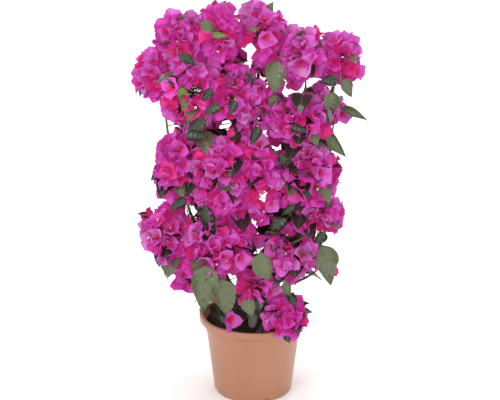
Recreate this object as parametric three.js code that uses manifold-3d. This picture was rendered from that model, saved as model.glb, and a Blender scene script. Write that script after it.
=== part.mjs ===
// Potted bougainvillea in full bloom: a plastic flower pot filled with compost, a short trunk,
// five main stems, a bough for each side mass, and masses of blossom and leaves.
// Units are millimetres, +Z is up, and the origin is the centre of the pot's flat underside.
import * as THREE from 'three';
import { mergeVertices } from 'three/addons/utils/BufferGeometryUtils.js';
import Module from 'manifold-3d';

const wasm = await Module();
wasm.setup();

// ---------------------------------------------------------------- sizes
const GAP = 0.3; // clear space between neighbouring solids
const CUT = 1.2 * GAP; // how far a limb is swollen to cut the limb that grows from it

const POT = {
  height: 147,
  rimRadius: 95,
  rimInnerRadius: 89,
  lipHeight: 12.7,
  lipRound: 2.2,
  neckRadius: 86.3, // outside of the wall where it meets the lip
  stepHeight: 20, // from the lip's lower edge down to the faint step in the wall
  step: 0.8,
  baseRadius: 69,
  baseRound: 3,
  wall: 2.2,
  floor: 8,
  sides: 36,
};
const NOTCH = {
  count: 4,
  firstAngle: -74, // degrees from +X, anticlockwise
  width: 18,
  height: 5.5,
  slope: 2,
  innerRadius: 45,
  drainRadius: 4,
  drainPlace: 56, // from the pot's axis
};
const SOIL = { top: 132, flatRadius: 34, edgeDrop: 3 };

const TRUNK = {
  foot: [3, 2],
  head: [-2, 6],
  top: 188,
  footRadius: 8.6,
  headRadius: 7.4,
  flare: 5.5, // how far the roots spread beyond the trunk at the soil
  flareFade: 0.22, // share of the trunk's height over which the flare dies away
  roots: 4,
  sides: 16,
  steps: 8,
};
const STEM = { rootRadius: 5.4, tipRadius: 2.7, sides: 7, steps: 12 };
const BOUGH = {
  rootRadius: 3.3,
  tipShare: 0.6, // tip radius as a share of the root's
  parentShare: 0.78, // widest root, as a share of its parent's radius
  sides: 6,
  steps: 6,
  leaveOut: 0.34, // handles of its curve, as shares of its span: out and up from its parent,
  leaveUp: 0.2,
  arriveOut: 0.16, // then in from outside and below the heart
  arriveUp: 0.3,
};
// A mass's own stem, which carries on from its bough, through its heart and a little past it.
const SHOOT = { radius: 1.9, tipRadius: 1.5, pastHeart: 0.22, sides: 4, steps: 5, bareSteps: 1 };
const TWIG = {
  radius: 1.1,
  shortest: 8,
  facing: 0.1, // least facing of a triangle of the stem that a twig leaves by
  straying: 200, // distance that weighs as much as facing a star in full
};

const BLOSSOM = { length: 40, width: 0.86, tilt: 60 }; // three bracts as one star
const LEAVES = { length: 50, width: 0.64, tilt: 68 }; // three leaves as one star
const STAR = { widest: 0.52, notch: 0.16, crown: 1.1, keel: 2.6 }; // shares of length, then mm
const UP_PULL = 0.3; // how far a star's axis turns up from its twig

const PLACING = {
  spacing: 28, // between the directions in which a mass tries to hold a star
  rounds: 2,
  laterSize: 0.8, // of a star's length in the second round
  jitter: 0.5, // radians
  sizes: 3, // each star is tried at so many sizes,
  shrink: 0.14,
  pulls: 4, // at so many distances from the heart for each size,
  rolls: 3, // and turned so many ways for each distance
  sizeSpread: 0.1,
};
const SPACE = {
  fullness: 2.8, // 2 makes a mass an ellipsoid, and more fills its corners
  overlap: 1.12,
  wallMargin: 0.35,
  outline: 1.02,
  entry: 0.86,
  entryMargin: 2.5,
};
const CLEARANCE = 1.1; // from a limb or the pot's lip
const BEAD = { step: 3, lipRadius: 8.2, lipTurn: 3 };
const TOUCH = 0.001; // cubic mm that two stars may share

// Every mass: its heart, its reach along X, Y and Z, the share of its stars that are leaves and,
// where no main stem ends in it, the limb that bears it and how far up that limb.
const mass = (place, heart, reach, leafy, on, at) => ({ place, heart, reach, leafy, on, at });
const MASSES = [
  mass('top_left', [-120, -10, 650], [50, 45, 55], 0),
  mass('top_center_left', [-55, -30, 665], [40, 45, 60], 0, 'stem_center', 0.62),
  mass('top_center', [10, -15, 660], [50, 45, 60], 0),
  mass('top_right', [80, -30, 630], [45, 50, 50], 0, 'stem_right', 0.7),
  mass('right_tip', [145, 0, 615], [40, 40, 50], 0),
  mass('far_left', [-165, -5, 590], [40, 40, 50], 0, 'stem_left', 0.62),
  mass('upper_left', [-100, -45, 570], [60, 50, 65], 0, 'stem_left', 0.7),
  mass('upper_center', [-35, -45, 560], [50, 50, 75], 0.1, 'stem_center', 0.5),
  mass('upper_right', [75, -45, 520], [65, 50, 50], 0.2, 'stem_right', 0.55),
  mass('right_leaves', [145, -5, 525], [30, 40, 65], 0.8, 'stem_right', 0.62),
  mass('middle_left', [-130, -40, 435], [40, 50, 70], 0.1, 'stem_left', 0.42),
  mass('middle', [-60, -60, 430], [55, 50, 75], 0.1, 'stem_center', 0.3),
  mass('middle_center', [5, -50, 430], [55, 50, 80], 0, 'stem_center', 0.36),
  mass('middle_right', [90, -45, 425], [60, 50, 70], 0.1, 'stem_right', 0.43),
  mass('low_left', [-145, -25, 295], [55, 50, 70], 0.1, 'stem_left', 0.24),
  mass('low_front', [-65, -60, 295], [75, 50, 75], 0.1, 'stem_left', 0.17),
  mass('low_right', [110, -40, 340], [50, 45, 45], 0.2, 'stem_right', 0.3),
  mass('low_center_right', [65, -60, 285], [55, 50, 60], 0.2, 'stem_right', 0.2),
  mass('low_right_leaves', [125, -35, 260], [30, 40, 50], 0.9, 'stem_right', 0.12),
  mass('foot_center', [0, -70, 225], [55, 40, 35], 0, 'trunk', 0.8),
  mass('foot_right', [55, -80, 175], [45, 45, 45], 0, 'trunk', 0.5),
  mass('foot_leaves', [-70, -60, 200], [40, 45, 45], 0.9, 'stem_left', 0.08),
  mass('back_top_left', [-80, 60, 610], [70, 50, 70], 0.1),
  mass('back_top_right', [40, 60, 610], [60, 50, 50], 0.1),
  mass('back_left', [-70, 65, 455], [75, 50, 90], 0.2, 'stem_back_left', 0.46),
  mass('back_upper_right', [120, 60, 500], [45, 50, 50], 0.2, 'stem_back_right', 0.6),
  mass('back_right', [75, 65, 405], [70, 50, 70], 0.2, 'stem_back_right', 0.44),
  mass('back_low_left', [-105, 60, 280], [65, 50, 75], 0.3, 'stem_back_left', 0.18),
  mass('back_low_right', [80, 60, 300], [60, 50, 65], 0.3, 'stem_back_right', 0.2),
];

// The main stems: how far up the trunk each leaves it, the two handles that its curve bends
// towards, and the mass that it ends in.
const STEMS = [
  { name: 'stem_left', at: 0.26, bends: [[-80, 0, 210], [-120, 10, 430]], ends: 'top_left' },
  { name: 'stem_right', at: 0.38, bends: [[85, 0, 215], [110, 5, 440]], ends: 'right_tip' },
  { name: 'stem_back_left', at: 0.46, bends: [[-60, 50, 230], [-60, 10, 450]], ends: 'back_top_left' },
  { name: 'stem_back_right', at: 0.58, bends: [[60, 50, 240], [60, 10, 470]], ends: 'back_top_right' },
  { name: 'stem_center', at: 0.9, bends: [[-20, 5, 300], [10, 10, 480]], ends: 'top_center' },
];

// ---------------------------------------------------------------- materials
const paint = (color, roughness) => new THREE.MeshStandardMaterial({ color, roughness, metalness: 0 });
const TERRACOTTA = paint(0xc58c70, 0.5);
const COMPOST = paint(0x2d221c, 0.95);
const BARK = paint(0x7a624c, 0.85);
const MAGENTA = paint(0xc2329a, 0.65);
const LEAF_GREEN = paint(0x5f7048, 0.6);

// ---------------------------------------------------------------- solids
const { degToRad, lerp } = THREE.MathUtils;
const vector = (coordinates) => new THREE.Vector3(...coordinates);
const toward = (point, direction, distance) => point.clone().addScaledVector(direction, distance);

// A closed solid from its corners and its triangles.
function solidOf({ corners, triangles }) {
  return new wasm.Manifold(new wasm.Mesh({
    numProp: 3,
    vertProperties: new Float32Array(corners.flatMap((corner) => corner.toArray())),
    triVerts: new Uint32Array(triangles.flat()),
  }));
}

// A closed three.js geometry as a solid, without the slivers that a lathe leaves on its axis.
function solidFrom(geometry) {
  geometry.deleteAttribute('normal');
  geometry.deleteAttribute('uv');
  const merged = mergeVertices(geometry, 1e-3);
  const corners = [];
  for (let i = 0; i < merged.attributes.position.count; i++) {
    corners.push(new THREE.Vector3().fromBufferAttribute(merged.attributes.position, i));
  }
  const triangles = [];
  for (let i = 0; i < merged.index.count; i += 3) {
    const [a, b, c] = [0, 1, 2].map((k) => merged.index.getX(i + k));
    if (a !== b && b !== c && c !== a) triangles.push([a, b, c]);
  }
  return solidOf({ corners, triangles });
}

const plant = new THREE.Group();
function add(name, solid, material) {
  const { vertProperties, triVerts } = solid.getMesh();
  const geometry = new THREE.BufferGeometry();
  geometry.setAttribute('position', new THREE.BufferAttribute(vertProperties.slice(), 3));
  geometry.setIndex(new THREE.BufferAttribute(triVerts.slice(), 1));
  geometry.computeVertexNormals();
  const mesh = new THREE.Mesh(geometry, material);
  mesh.name = name;
  plant.add(mesh);
}

// A closed tube of rings round a line of points. radiusAt(t, angle) is its radius, with t from
// 0 to 1. The rings of a level tube stay horizontal. Its two end caps come last.
function tube(points, radiusAt, sides, level = false) {
  const last = points.length - 1;
  const corners = [];
  let side = new THREE.Vector3(1, 0, 0);
  points.forEach((point, i) => {
    const along = level
      ? new THREE.Vector3(0, 0, 1)
      : points[Math.min(i + 1, last)].clone().sub(points[Math.max(i - 1, 0)]).normalize();
    if (i === 0 && Math.abs(along.x) > 0.9) side = new THREE.Vector3(0, 1, 0);
    side = toward(side, along, -side.dot(along)).normalize();
    const across = along.clone().cross(side);
    for (let k = 0; k < sides; k++) {
      const angle = (2 * Math.PI * k) / sides;
      const radius = radiusAt(i / last, angle);
      corners.push(toward(toward(point, side, radius * Math.cos(angle)), across, radius * Math.sin(angle)));
    }
  });
  const triangles = [];
  for (let ring = 0; ring < last * sides; ring += sides) {
    for (let k = 0; k < sides; k++) {
      const next = (k + 1) % sides;
      triangles.push([ring + k, ring + next, ring + sides + next]);
      triangles.push([ring + k, ring + sides + next, ring + sides + k]);
    }
  }
  for (let k = 1; k < sides - 1; k++) triangles.push([0, k + 1, k]);
  for (let k = 1; k < sides - 1; k++) triangles.push([0, k, k + 1].map((c) => last * sides + c));
  return { corners, triangles };
}

// ---------------------------------------------------------------- pot
// The outside of the wall at a height; the inside is one wall's thickness less.
function wallRadius(z) {
  return lerp(POT.baseRadius, POT.neckRadius, z / (POT.height - POT.lipHeight));
}

// A turned shell with a rounded lip and a faint step below it. Four channels cross the outer
// part of the underside, so that each shows as a notch at the foot of the wall and leads out
// from a drain hole.
function pot() {
  const lipFoot = POT.height - POT.lipHeight;
  const stepFoot = lipFoot - POT.stepHeight;
  const { rimRadius, lipRound, baseRadius, baseRound } = POT;
  const profile = new THREE.Path();
  profile.moveTo(0, 0);
  profile.lineTo(baseRadius - baseRound, 0);
  profile.quadraticCurveTo(baseRadius, 0, wallRadius(baseRound), baseRound);
  profile.lineTo(wallRadius(stepFoot) - POT.step, stepFoot);
  profile.lineTo(wallRadius(stepFoot), stepFoot + POT.step);
  profile.lineTo(POT.neckRadius, lipFoot);
  profile.lineTo(rimRadius - lipRound, lipFoot);
  profile.quadraticCurveTo(rimRadius, lipFoot, rimRadius, lipFoot + lipRound);
  profile.lineTo(rimRadius, POT.height - lipRound);
  profile.quadraticCurveTo(rimRadius, POT.height, rimRadius - lipRound, POT.height);
  profile.lineTo(POT.rimInnerRadius + lipRound, POT.height);
  profile.lineTo(POT.rimInnerRadius, POT.height - lipRound);
  profile.lineTo(wallRadius(lipFoot) - POT.wall, lipFoot);
  profile.lineTo(wallRadius(POT.floor) - POT.wall, POT.floor);
  profile.lineTo(0, POT.floor);
  let solid = solidFrom(new THREE.LatheGeometry(profile.getPoints(2), POT.sides).rotateX(Math.PI / 2));

  const half = NOTCH.width / 2;
  const section = new THREE.Shape([
    new THREE.Vector2(-half - NOTCH.slope, -1),
    new THREE.Vector2(half + NOTCH.slope, -1),
    new THREE.Vector2(half, NOTCH.height),
    new THREE.Vector2(-half, NOTCH.height),
  ]);
  for (let i = 0; i < NOTCH.count; i++) {
    const angle = degToRad(NOTCH.firstAngle + (360 / NOTCH.count) * i);
    const depth = POT.rimRadius - NOTCH.innerRadius;
    const channel = new THREE.ExtrudeGeometry(section, { depth, bevelEnabled: false })
      .rotateX(Math.PI / 2).rotateZ(Math.PI / 2).translate(NOTCH.innerRadius, 0, 0).rotateZ(angle);
    const drain = new THREE.CylinderGeometry(NOTCH.drainRadius, NOTCH.drainRadius, 2 * POT.floor, 10)
      .rotateX(Math.PI / 2).translate(NOTCH.drainPlace, 0, POT.floor).rotateZ(angle);
    solid = solid.subtract(solidFrom(channel)).subtract(solidFrom(drain));
  }
  return solid;
}

// Compost fills the pot to a little below its rim, level in the middle and lower at the edge.
function soil() {
  const edge = SOIL.top - SOIL.edgeDrop;
  const foot = POT.floor + GAP;
  const fit = (z) => wallRadius(z) - POT.wall - GAP;
  const profile = [
    [0, foot], [fit(foot), foot], [fit(edge), edge],
    [(fit(edge) + SOIL.flatRadius) / 2, SOIL.top - SOIL.edgeDrop / 4],
    [SOIL.flatRadius, SOIL.top], [0, SOIL.top],
  ].map(([radius, z]) => new THREE.Vector2(radius, z));
  return solidFrom(new THREE.LatheGeometry(profile, POT.sides).rotateX(Math.PI / 2));
}

// ---------------------------------------------------------------- spaces
// A mass keeps to a full rounded form, cut by a wall between it and each neighbour close by.
for (const own of MASSES) {
  own.center = vector(own.heart);
  own.radii = vector(own.reach);
}
for (const own of MASSES) {
  own.walls = [];
  for (const other of MASSES) {
    if (other === own) continue;
    const normal = other.center.clone().sub(own.center);
    const distance = normal.length();
    normal.normalize();
    const ownReach = normal.clone().multiply(own.radii).length();
    const otherReach = normal.clone().multiply(other.radii).length();
    if (distance > SPACE.overlap * (ownReach + otherReach)) continue;
    const share = ownReach / (ownReach + otherReach);
    own.walls.push({ normal, offset: normal.dot(own.center) + distance * share - SPACE.wallMargin });
  }
}

// How far an offset from the heart goes, as a share of the mass's reach in its direction.
function fullnessOf(own, offset) {
  const shares = offset.clone().divide(own.radii).toArray();
  return shares.reduce((sum, share) => sum + Math.abs(share) ** SPACE.fullness, 0) ** (1 / SPACE.fullness);
}

function inSpace(own, point, outline = SPACE.outline, margin = 0) {
  if (fullnessOf(own, point.clone().sub(own.center)) > outline) return false;
  return own.walls.every(({ normal, offset }) => normal.dot(point) < offset - margin);
}

// ---------------------------------------------------------------- limbs
// A limb's line is a cubic curve from the middle of its parent to the heart of its mass. The
// limb is one taper along it that ends where it enters the mass's space.
const limbs = {};
const swollen = {};

function linePoints(curve, from, to, steps) {
  return Array.from({ length: steps + 1 }, (_, i) => curve.getPoint(lerp(from, to, i / steps)));
}

function entryOf(curve, own) {
  const steps = 60;
  const isInside = (step) => inSpace(own, curve.getPoint(step / steps), SPACE.entry, SPACE.entryMargin);
  let entry = steps;
  while (entry > 0 && isInside(entry - 1)) entry--;
  return entry / steps;
}

function trunk() {
  const curve = new THREE.LineCurve3(
    vector([...TRUNK.foot, SOIL.top + GAP]),
    vector([...TRUNK.head, TRUNK.top]),
  );
  const taper = (t) => lerp(TRUNK.footRadius, TRUNK.headRadius, t);
  const flareAt = (t, angle) => TRUNK.flare * Math.exp(-t / TRUNK.flareFade)
    * (0.6 + 0.4 * Math.cos(TRUNK.roots * angle + 1));
  const body = (extra) => {
    const points = linePoints(curve, 0, 1, TRUNK.steps);
    points.at(-1).z += extra;
    return solidOf(tube(points, (t, angle) => taper(t) + flareAt(t, angle) + extra, TRUNK.sides, true));
  };
  limbs.trunk = { curve, end: 1, radiusAt: taper };
  swollen.trunk = body(CUT);
  add('trunk', body(0), BARK);
}

function growLimb(name, parent, curve, own, { rootRadius, tipRadius, sides, steps }) {
  const end = entryOf(curve, own);
  const body = (extra) => solidOf(tube(
    linePoints(curve, 0, end, steps),
    (t) => lerp(rootRadius, tipRadius, t) + extra,
    sides,
  ));
  own.limb = { curve, end, tipRadius, radiusAt: (t) => lerp(rootRadius, tipRadius, t / end) };
  limbs[name] = own.limb;
  swollen[name] = body(CUT);
  add(name, body(0).subtract(swollen[parent]), BARK);
}

function mainStems() {
  for (const { name, at, bends, ends } of STEMS) {
    const own = MASSES.find((each) => each.place === ends);
    const points = [limbs.trunk.curve.getPoint(at), ...bends.map(vector), own.center];
    growLimb(name, 'trunk', new THREE.CubicBezierCurve3(...points), own, STEM);
  }
}

// A bough leaves its parent outwards and turns up to its mass. The trunk bears no boughs: a
// mass that sits on it has its own stem run right to the trunk.
function boughs() {
  for (const own of MASSES.filter((each) => each.on)) {
    const parent = limbs[own.on];
    const root = parent.curve.getPoint(own.at);
    const span = own.center.distanceTo(root);
    const outward = own.center.clone().sub(root).setZ(0).normalize();
    const up = new THREE.Vector3(0, 0, 1);
    const leave = toward(toward(root, outward, BOUGH.leaveOut * span), up, BOUGH.leaveUp * span);
    const arrive = toward(toward(own.center, outward, -BOUGH.arriveOut * span), up, -BOUGH.arriveUp * span);
    const curve = new THREE.CubicBezierCurve3(root, leave, arrive, own.center);
    const rootRadius = Math.min(BOUGH.rootRadius, BOUGH.parentShare * parent.radiusAt(own.at));
    if (own.on === 'trunk') {
      own.limb = { curve, end: 0, tipRadius: SHOOT.radius };
    } else {
      const sizes = { ...BOUGH, rootRadius, tipRadius: BOUGH.tipShare * rootRadius };
      growLimb(`bough_${own.place}`, own.on, curve, own, sizes);
    }
  }
}

// Beads strung along every limb and round the pot's lip, which blossom and leaves keep clear of.
const beads = [];

function stringBeads(curve, end, radiusAt, owner) {
  const count = Math.ceil((curve.getLength() * end) / BEAD.step);
  for (let i = 0; i <= count; i++) {
    const t = (end * i) / count;
    beads.push({ at: curve.getPoint(t), radius: radiusAt(t), owner });
  }
}

function allBeads() {
  for (const { curve, end, radiusAt } of Object.values(limbs)) stringBeads(curve, end, radiusAt);
  for (const own of MASSES.filter((each) => each.on === 'trunk')) {
    stringBeads(own.limb.curve, 1, () => SHOOT.radius, own);
  }
  for (let angle = 0; angle < 360; angle += BEAD.lipTurn) {
    const at = new THREE.Vector3(POT.rimRadius + 1 - BEAD.lipRadius, 0, POT.height + 1 - BEAD.lipRadius);
    at.applyAxisAngle(new THREE.Vector3(0, 0, 1), degToRad(angle));
    beads.push({ at, radius: BEAD.lipRadius });
  }
}

function clearOfBeads(nearby, faces, middle, reach) {
  const nearest = new THREE.Vector3();
  const inReach = nearby.filter(({ at, radius }) => at.distanceTo(middle) < reach + radius + CLEARANCE);
  return inReach.every(({ at, radius }) => faces.every((face) => {
    face.closestPointToPoint(at, nearest);
    return nearest.distanceTo(at) > radius + CLEARANCE;
  }));
}

// ---------------------------------------------------------------- blossom and leaves
// A small fixed-seed generator, so that the plant is the same each time it is made.
function dice(seed) {
  let state = seed;
  return () => {
    state = (Math.imul(state, 1664525) + 1013904223) >>> 0;
    return state / 4294967296;
  };
}

// Three blades round one axis on the end of a three-sided twig. The outline runs out to each
// blade's tip and back to a notch, under a low crown; the keel below draws in to the twig, whose
// foot is one triangle of its mass's own stem, given by that triangle's three corners.
function star(foot, middle, axis, roll, kind, length) {
  const side = Math.abs(axis.z) > 0.95 ? new THREE.Vector3(1, 0, 0) : new THREE.Vector3(0, 0, 1);
  side.addScaledVector(axis, -side.dot(axis)).normalize();
  const across = axis.clone().cross(side);
  const tilt = degToRad(kind.tilt);
  const radial = (angle) => toward(side.clone().multiplyScalar(Math.cos(angle)), across, Math.sin(angle));
  const outline = (angle, out, half) => {
    const spine = toward(toward(middle, axis, out * Math.cos(tilt)), radial(angle), out * Math.sin(tilt));
    return toward(spine, axis.clone().cross(radial(angle)), half);
  };
  const corners = [];
  const keel = [];
  for (let blade = 0; blade < 3; blade++) {
    const angle = roll + (blade * 2 * Math.PI) / 3;
    const half = (kind.width * length) / 2;
    corners.push(outline(angle, STAR.widest * length, -half));
    corners.push(outline(angle, length, 0));
    corners.push(outline(angle, STAR.widest * length, half));
    corners.push(outline(angle + Math.PI / 3, STAR.notch * length, 0));
    keel.push(toward(toward(middle, axis, -STAR.keel), radial(angle + Math.PI / 3), TWIG.radius));
  }
  const rim = corners.length;
  const crown = rim + 3;
  const twist = (shift) => keel.reduce((sum, corner, k) => sum + corner.distanceTo(foot[(k + shift) % 3]), 0);
  const shift = [0, 1, 2].sort((a, b) => twist(a) - twist(b))[0];
  corners.push(...keel, toward(middle, axis, STAR.crown));
  corners.push(...[0, 1, 2].map((k) => foot[(k + shift) % 3]));

  const triangles = [];
  for (let i = 0; i < rim; i++) triangles.push([i, (i + 1) % rim, crown]);
  for (let blade = 0; blade < 3; blade++) {
    const before = (blade + 2) % 3;
    const [left, tip, right, notch] = [0, 1, 2, 3].map((k) => 4 * blade + k);
    const [keelBefore, keelAfter] = [rim + before, rim + blade];
    const [footBefore, footAfter] = [crown + 1 + before, crown + 1 + blade];
    triangles.push([left, 4 * before + 3, keelBefore], [tip, left, keelBefore]);
    triangles.push([tip, keelBefore, keelAfter], [right, tip, keelAfter], [notch, right, keelAfter]);
    triangles.push([keelAfter, keelBefore, footBefore], [keelAfter, footBefore, footAfter]);
  }
  const cap = [crown + 3, crown + 2, crown + 1];
  return { corners, triangles, solid: solidOf({ corners, triangles: [...triangles, cap] }) };
}

// How far a star's middle may stand from the heart, in one direction, for its tips to touch
// the mass's outline.
function standOff(own, direction, kind, length) {
  const reach = 1 / fullnessOf(own, direction);
  const sideways = length * Math.sin(degToRad(kind.tilt));
  const forward = length * Math.cos(degToRad(kind.tilt));
  return Math.sqrt(Math.max(reach * reach - sideways * sideways, 0)) - forward;
}

// The free triangle of a mass's stem that best faces a star's middle, or -1.
function footFor(mesh, free, middle) {
  let best = -1;
  let bestScore = TWIG.facing;
  for (const k of free) {
    const face = new THREE.Triangle(...mesh.triangles[k].map((corner) => mesh.corners[corner]));
    const away = middle.clone().sub(face.getMidpoint(new THREE.Vector3()));
    const facing = face.getNormal(new THREE.Vector3()).dot(away.clone().normalize());
    const score = facing - away.length() / TWIG.straying;
    if (score > bestScore) [best, bestScore] = [k, score];
  }
  return best;
}

// A mass's own stem: from just clear of its bough's tip, or from inside the trunk, to its heart
// and a little past it.
function shootOf(own) {
  const { curve, end, tipRadius } = own.limb;
  const nudge = 0.01;
  const speed = curve.getPoint(end).distanceTo(curve.getPoint(end + nudge)) / nudge;
  const start = end > 0 ? end + GAP / speed : 0;
  const line = linePoints(curve, start, 1, SHOOT.steps);
  const heading = line.at(-1).clone().sub(line.at(-2)).normalize();
  const past = SHOOT.pastHeart * heading.clone().multiply(own.radii).length();
  line.push(toward(line.at(-1), heading, past / 2), toward(line.at(-1), heading, past));
  const radius = Math.min(SHOOT.radius, tipRadius);
  return tube(line, (t) => lerp(radius, SHOOT.tipRadius, t), SHOOT.sides);
}

// A mass grows as one closed surface: each star's twig is drawn out of a triangle of the mass's
// stem. A star that would leave the space, meet a limb or cross another star is tried smaller,
// nearer and turned, and then skipped.
function growMass(own, index) {
  const random = dice(97 + 131 * index);
  const mesh = shootOf(own);
  const stem = solidOf(mesh);
  const bareEnd = own.on === 'trunk' ? 3 * SHOOT.bareSteps : SHOOT.bareSteps;
  const capTriangles = 2 * (SHOOT.sides - 2);
  const sideTriangles = mesh.triangles.length - capTriangles;
  const free = new Set(mesh.triangles.keys());
  for (let k = 0; k < bareEnd * 2 * SHOOT.sides; k++) free.delete(k);
  for (let k = 0; k < capTriangles / 2; k++) free.delete(sideTriangles + k);
  const farthest = Math.max(...own.reach) + BEAD.lipRadius;
  const nearby = beads.filter(({ at, owner }) => owner !== own && at.distanceTo(own.center) < farthest);
  const blooms = [];
  const feet = new Set();

  const tries = [];
  for (let size = 0; size < PLACING.sizes; size++) {
    for (let pull = 0; pull < PLACING.pulls; pull++) {
      for (let turn = 0; turn < PLACING.rolls; turn++) {
        tries.push({
          size: 1 - PLACING.shrink * size,
          pull: 1 - pull / PLACING.pulls,
          turn: (2 * Math.PI * turn) / (3 * PLACING.rolls),
        });
      }
    }
  }

  const meanReach = Math.cbrt(own.radii.x * own.radii.y * own.radii.z);
  const count = Math.round((4 * Math.PI * meanReach ** 2) / PLACING.spacing ** 2);
  const goldenTurn = Math.PI * (3 - Math.sqrt(5));
  const spin = random() * 2 * Math.PI;
  for (let i = 0; i < PLACING.rounds * count; i++) {
    const height = 1 - (2 * ((i % count) + 0.5)) / count;
    const bearing = spin + i * goldenTurn + PLACING.jitter * (random() - 0.5);
    const flat = Math.sqrt(1 - height * height);
    const direction = new THREE.Vector3(flat * Math.cos(bearing), flat * Math.sin(bearing), height);
    const axis = toward(direction, new THREE.Vector3(0, 0, 1), UP_PULL).normalize();
    const kind = random() < own.leafy ? LEAVES : BLOSSOM;
    const fullLength = kind.length * (1 + PLACING.sizeSpread * (2 * random() - 1))
      * (i < count ? 1 : PLACING.laterSize);
    const roll = random() * 2 * Math.PI;
    for (const { size, pull, turn } of tries) {
      const length = fullLength * size;
      const distance = Math.max(standOff(own, direction, kind, length) * pull, TWIG.shortest);
      const middle = toward(own.center, direction, distance);
      const footFace = footFor(mesh, free, middle);
      if (footFace < 0) continue;
      const foot = mesh.triangles[footFace].map((k) => mesh.corners[k]);
      const bloom = star(foot, middle, axis, roll + turn, kind, length);
      if (!bloom.corners.every((corner) => inSpace(own, corner))) continue;
      const faces = bloom.triangles.map((t) => new THREE.Triangle(...t.map((k) => bloom.corners[k])));
      const reach = Math.max(length, middle.distanceTo(foot[0])) + 3;
      if (!clearOfBeads(nearby, faces, middle, reach)) continue;
      const closeBy = blooms.filter((other) => other.middle.distanceTo(middle) < other.length + length);
      const rivals = [stem, ...closeBy.map((other) => other.solid)];
      if (rivals.some((rival) => bloom.solid.intersect(rival).volume() > TOUCH)) continue;

      blooms.push({ middle, length, solid: bloom.solid });
      feet.add(footFace);
      free.delete(footFace);
      const ownCorners = bloom.corners.slice(0, -3);
      const first = mesh.corners.length;
      const indexOf = (k) => (k < ownCorners.length ? first + k : mesh.corners.indexOf(bloom.corners[k]));
      mesh.corners.push(...ownCorners);
      mesh.triangles.push(...bloom.triangles.map((t) => t.map(indexOf)));
      break;
    }
  }
  const triangles = mesh.triangles.filter((_, k) => !feet.has(k));
  const solid = solidOf({ corners: mesh.corners, triangles });
  return own.on === 'trunk' ? solid.subtract(swollen.trunk) : solid;
}

// ---------------------------------------------------------------- the plant
add('pot', pot(), TERRACOTTA);
add('soil', soil(), COMPOST);
trunk();
mainStems();
boughs();
allBeads();
MASSES.forEach((own, index) => {
  add(`spray_${own.place}`, growMass(own, index), own.leafy > 0.5 ? LEAF_GREEN : MAGENTA);
});

export default plant;
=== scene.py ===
import math

import bmesh
import bpy
import numpy as np
from mathutils import Matrix, Vector, kdtree, noise


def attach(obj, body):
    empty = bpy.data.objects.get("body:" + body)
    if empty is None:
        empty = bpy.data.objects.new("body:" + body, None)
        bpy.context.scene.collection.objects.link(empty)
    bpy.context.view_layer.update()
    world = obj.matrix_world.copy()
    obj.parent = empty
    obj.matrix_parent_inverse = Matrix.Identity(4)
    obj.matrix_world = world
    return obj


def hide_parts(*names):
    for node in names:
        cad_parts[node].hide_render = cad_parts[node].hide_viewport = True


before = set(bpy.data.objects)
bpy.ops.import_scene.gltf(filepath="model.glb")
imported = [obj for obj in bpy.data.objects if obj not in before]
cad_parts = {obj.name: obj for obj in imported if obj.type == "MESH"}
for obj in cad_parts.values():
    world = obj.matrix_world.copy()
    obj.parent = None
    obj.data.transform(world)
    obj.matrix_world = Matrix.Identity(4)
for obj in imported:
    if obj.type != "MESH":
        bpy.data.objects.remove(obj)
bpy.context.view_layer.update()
scene = bpy.context.scene


# ---------------------------------------------------------------- studio
# A long lens looks down on the plant from the front. Soft boxes light it from the left front,
# from above and from behind, over a white floor that fades into a white room.
CAMERA_PLACE = (-0.0053, -3.1772, 1.6101)
CAMERA_DOWN = 21.5  # degrees below the horizon
CAMERA_LENS = 141.84  # mm, on a sensor 36 mm wide

FLOOR_SIDE = 60.0
FLOOR_TONE = (249, 249, 249)
FLOOR_ROUGHNESS = 0.9
ROOM_LIGHT = 1.12
# name, where it hangs, side in metres, watts
SOFT_BOXES = [
    ("key_box", (-1.5, -2.2, 2.1), 1.4, 22.0),
    ("top_box", (0.1, 0.2, 2.7), 1.2, 20.0),
    ("back_box", (0.6, 2.3, 1.7), 1.4, 10.0),
]
BOXES_AIM = Vector((0.0, 0.0, 0.38))


def linear(*tone):
    """A colour given as 0 to 255 on a screen, as the light that it stands for."""
    return [(((t / 255) + 0.055) / 1.055) ** 2.4 if t > 10.3 else t / 255 / 12.92 for t in tone]


def as_mesh(name, shape):
    """A mesh as it is, or a bmesh as a mesh, after which the bmesh is gone."""
    if isinstance(shape, bpy.types.Mesh):
        return shape
    mesh = bpy.data.meshes.new(name)
    shape.to_mesh(mesh)
    shape.free()
    return mesh


def plain_finish(name, tone, roughness, **sockets):
    material = bpy.data.materials.new(name)
    material.use_nodes = True
    shader = material.node_tree.nodes["Principled BSDF"]
    shader.inputs["Base Color"].default_value = (*linear(*tone), 1)
    shader.inputs["Roughness"].default_value = roughness
    for socket, value in sockets.items():
        shader.inputs[socket.replace("_", " ")].default_value = value
    return material


camera = bpy.data.objects.new("camera", bpy.data.cameras.new("camera"))
camera.location = CAMERA_PLACE
camera.rotation_euler = (math.radians(90 - CAMERA_DOWN), 0, 0)
camera.data.lens = CAMERA_LENS
scene.collection.objects.link(camera)
scene.camera = camera

for name, place, side, watts in SOFT_BOXES:
    box = bpy.data.objects.new(name, bpy.data.lights.new(name, "AREA"))
    box.data.size = side
    box.data.energy = watts
    box.location = place
    box.rotation_euler = (BOXES_AIM - Vector(place)).to_track_quat("-Z", "Y").to_euler()
    scene.collection.objects.link(box)

room = bpy.data.worlds.new("room")
room.use_nodes = True
room.node_tree.nodes["Background"].inputs["Color"].default_value = (1, 1, 1, 1)
room.node_tree.nodes["Background"].inputs["Strength"].default_value = ROOM_LIGHT
scene.world = room
scene.view_settings.view_transform = "Standard"

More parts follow.
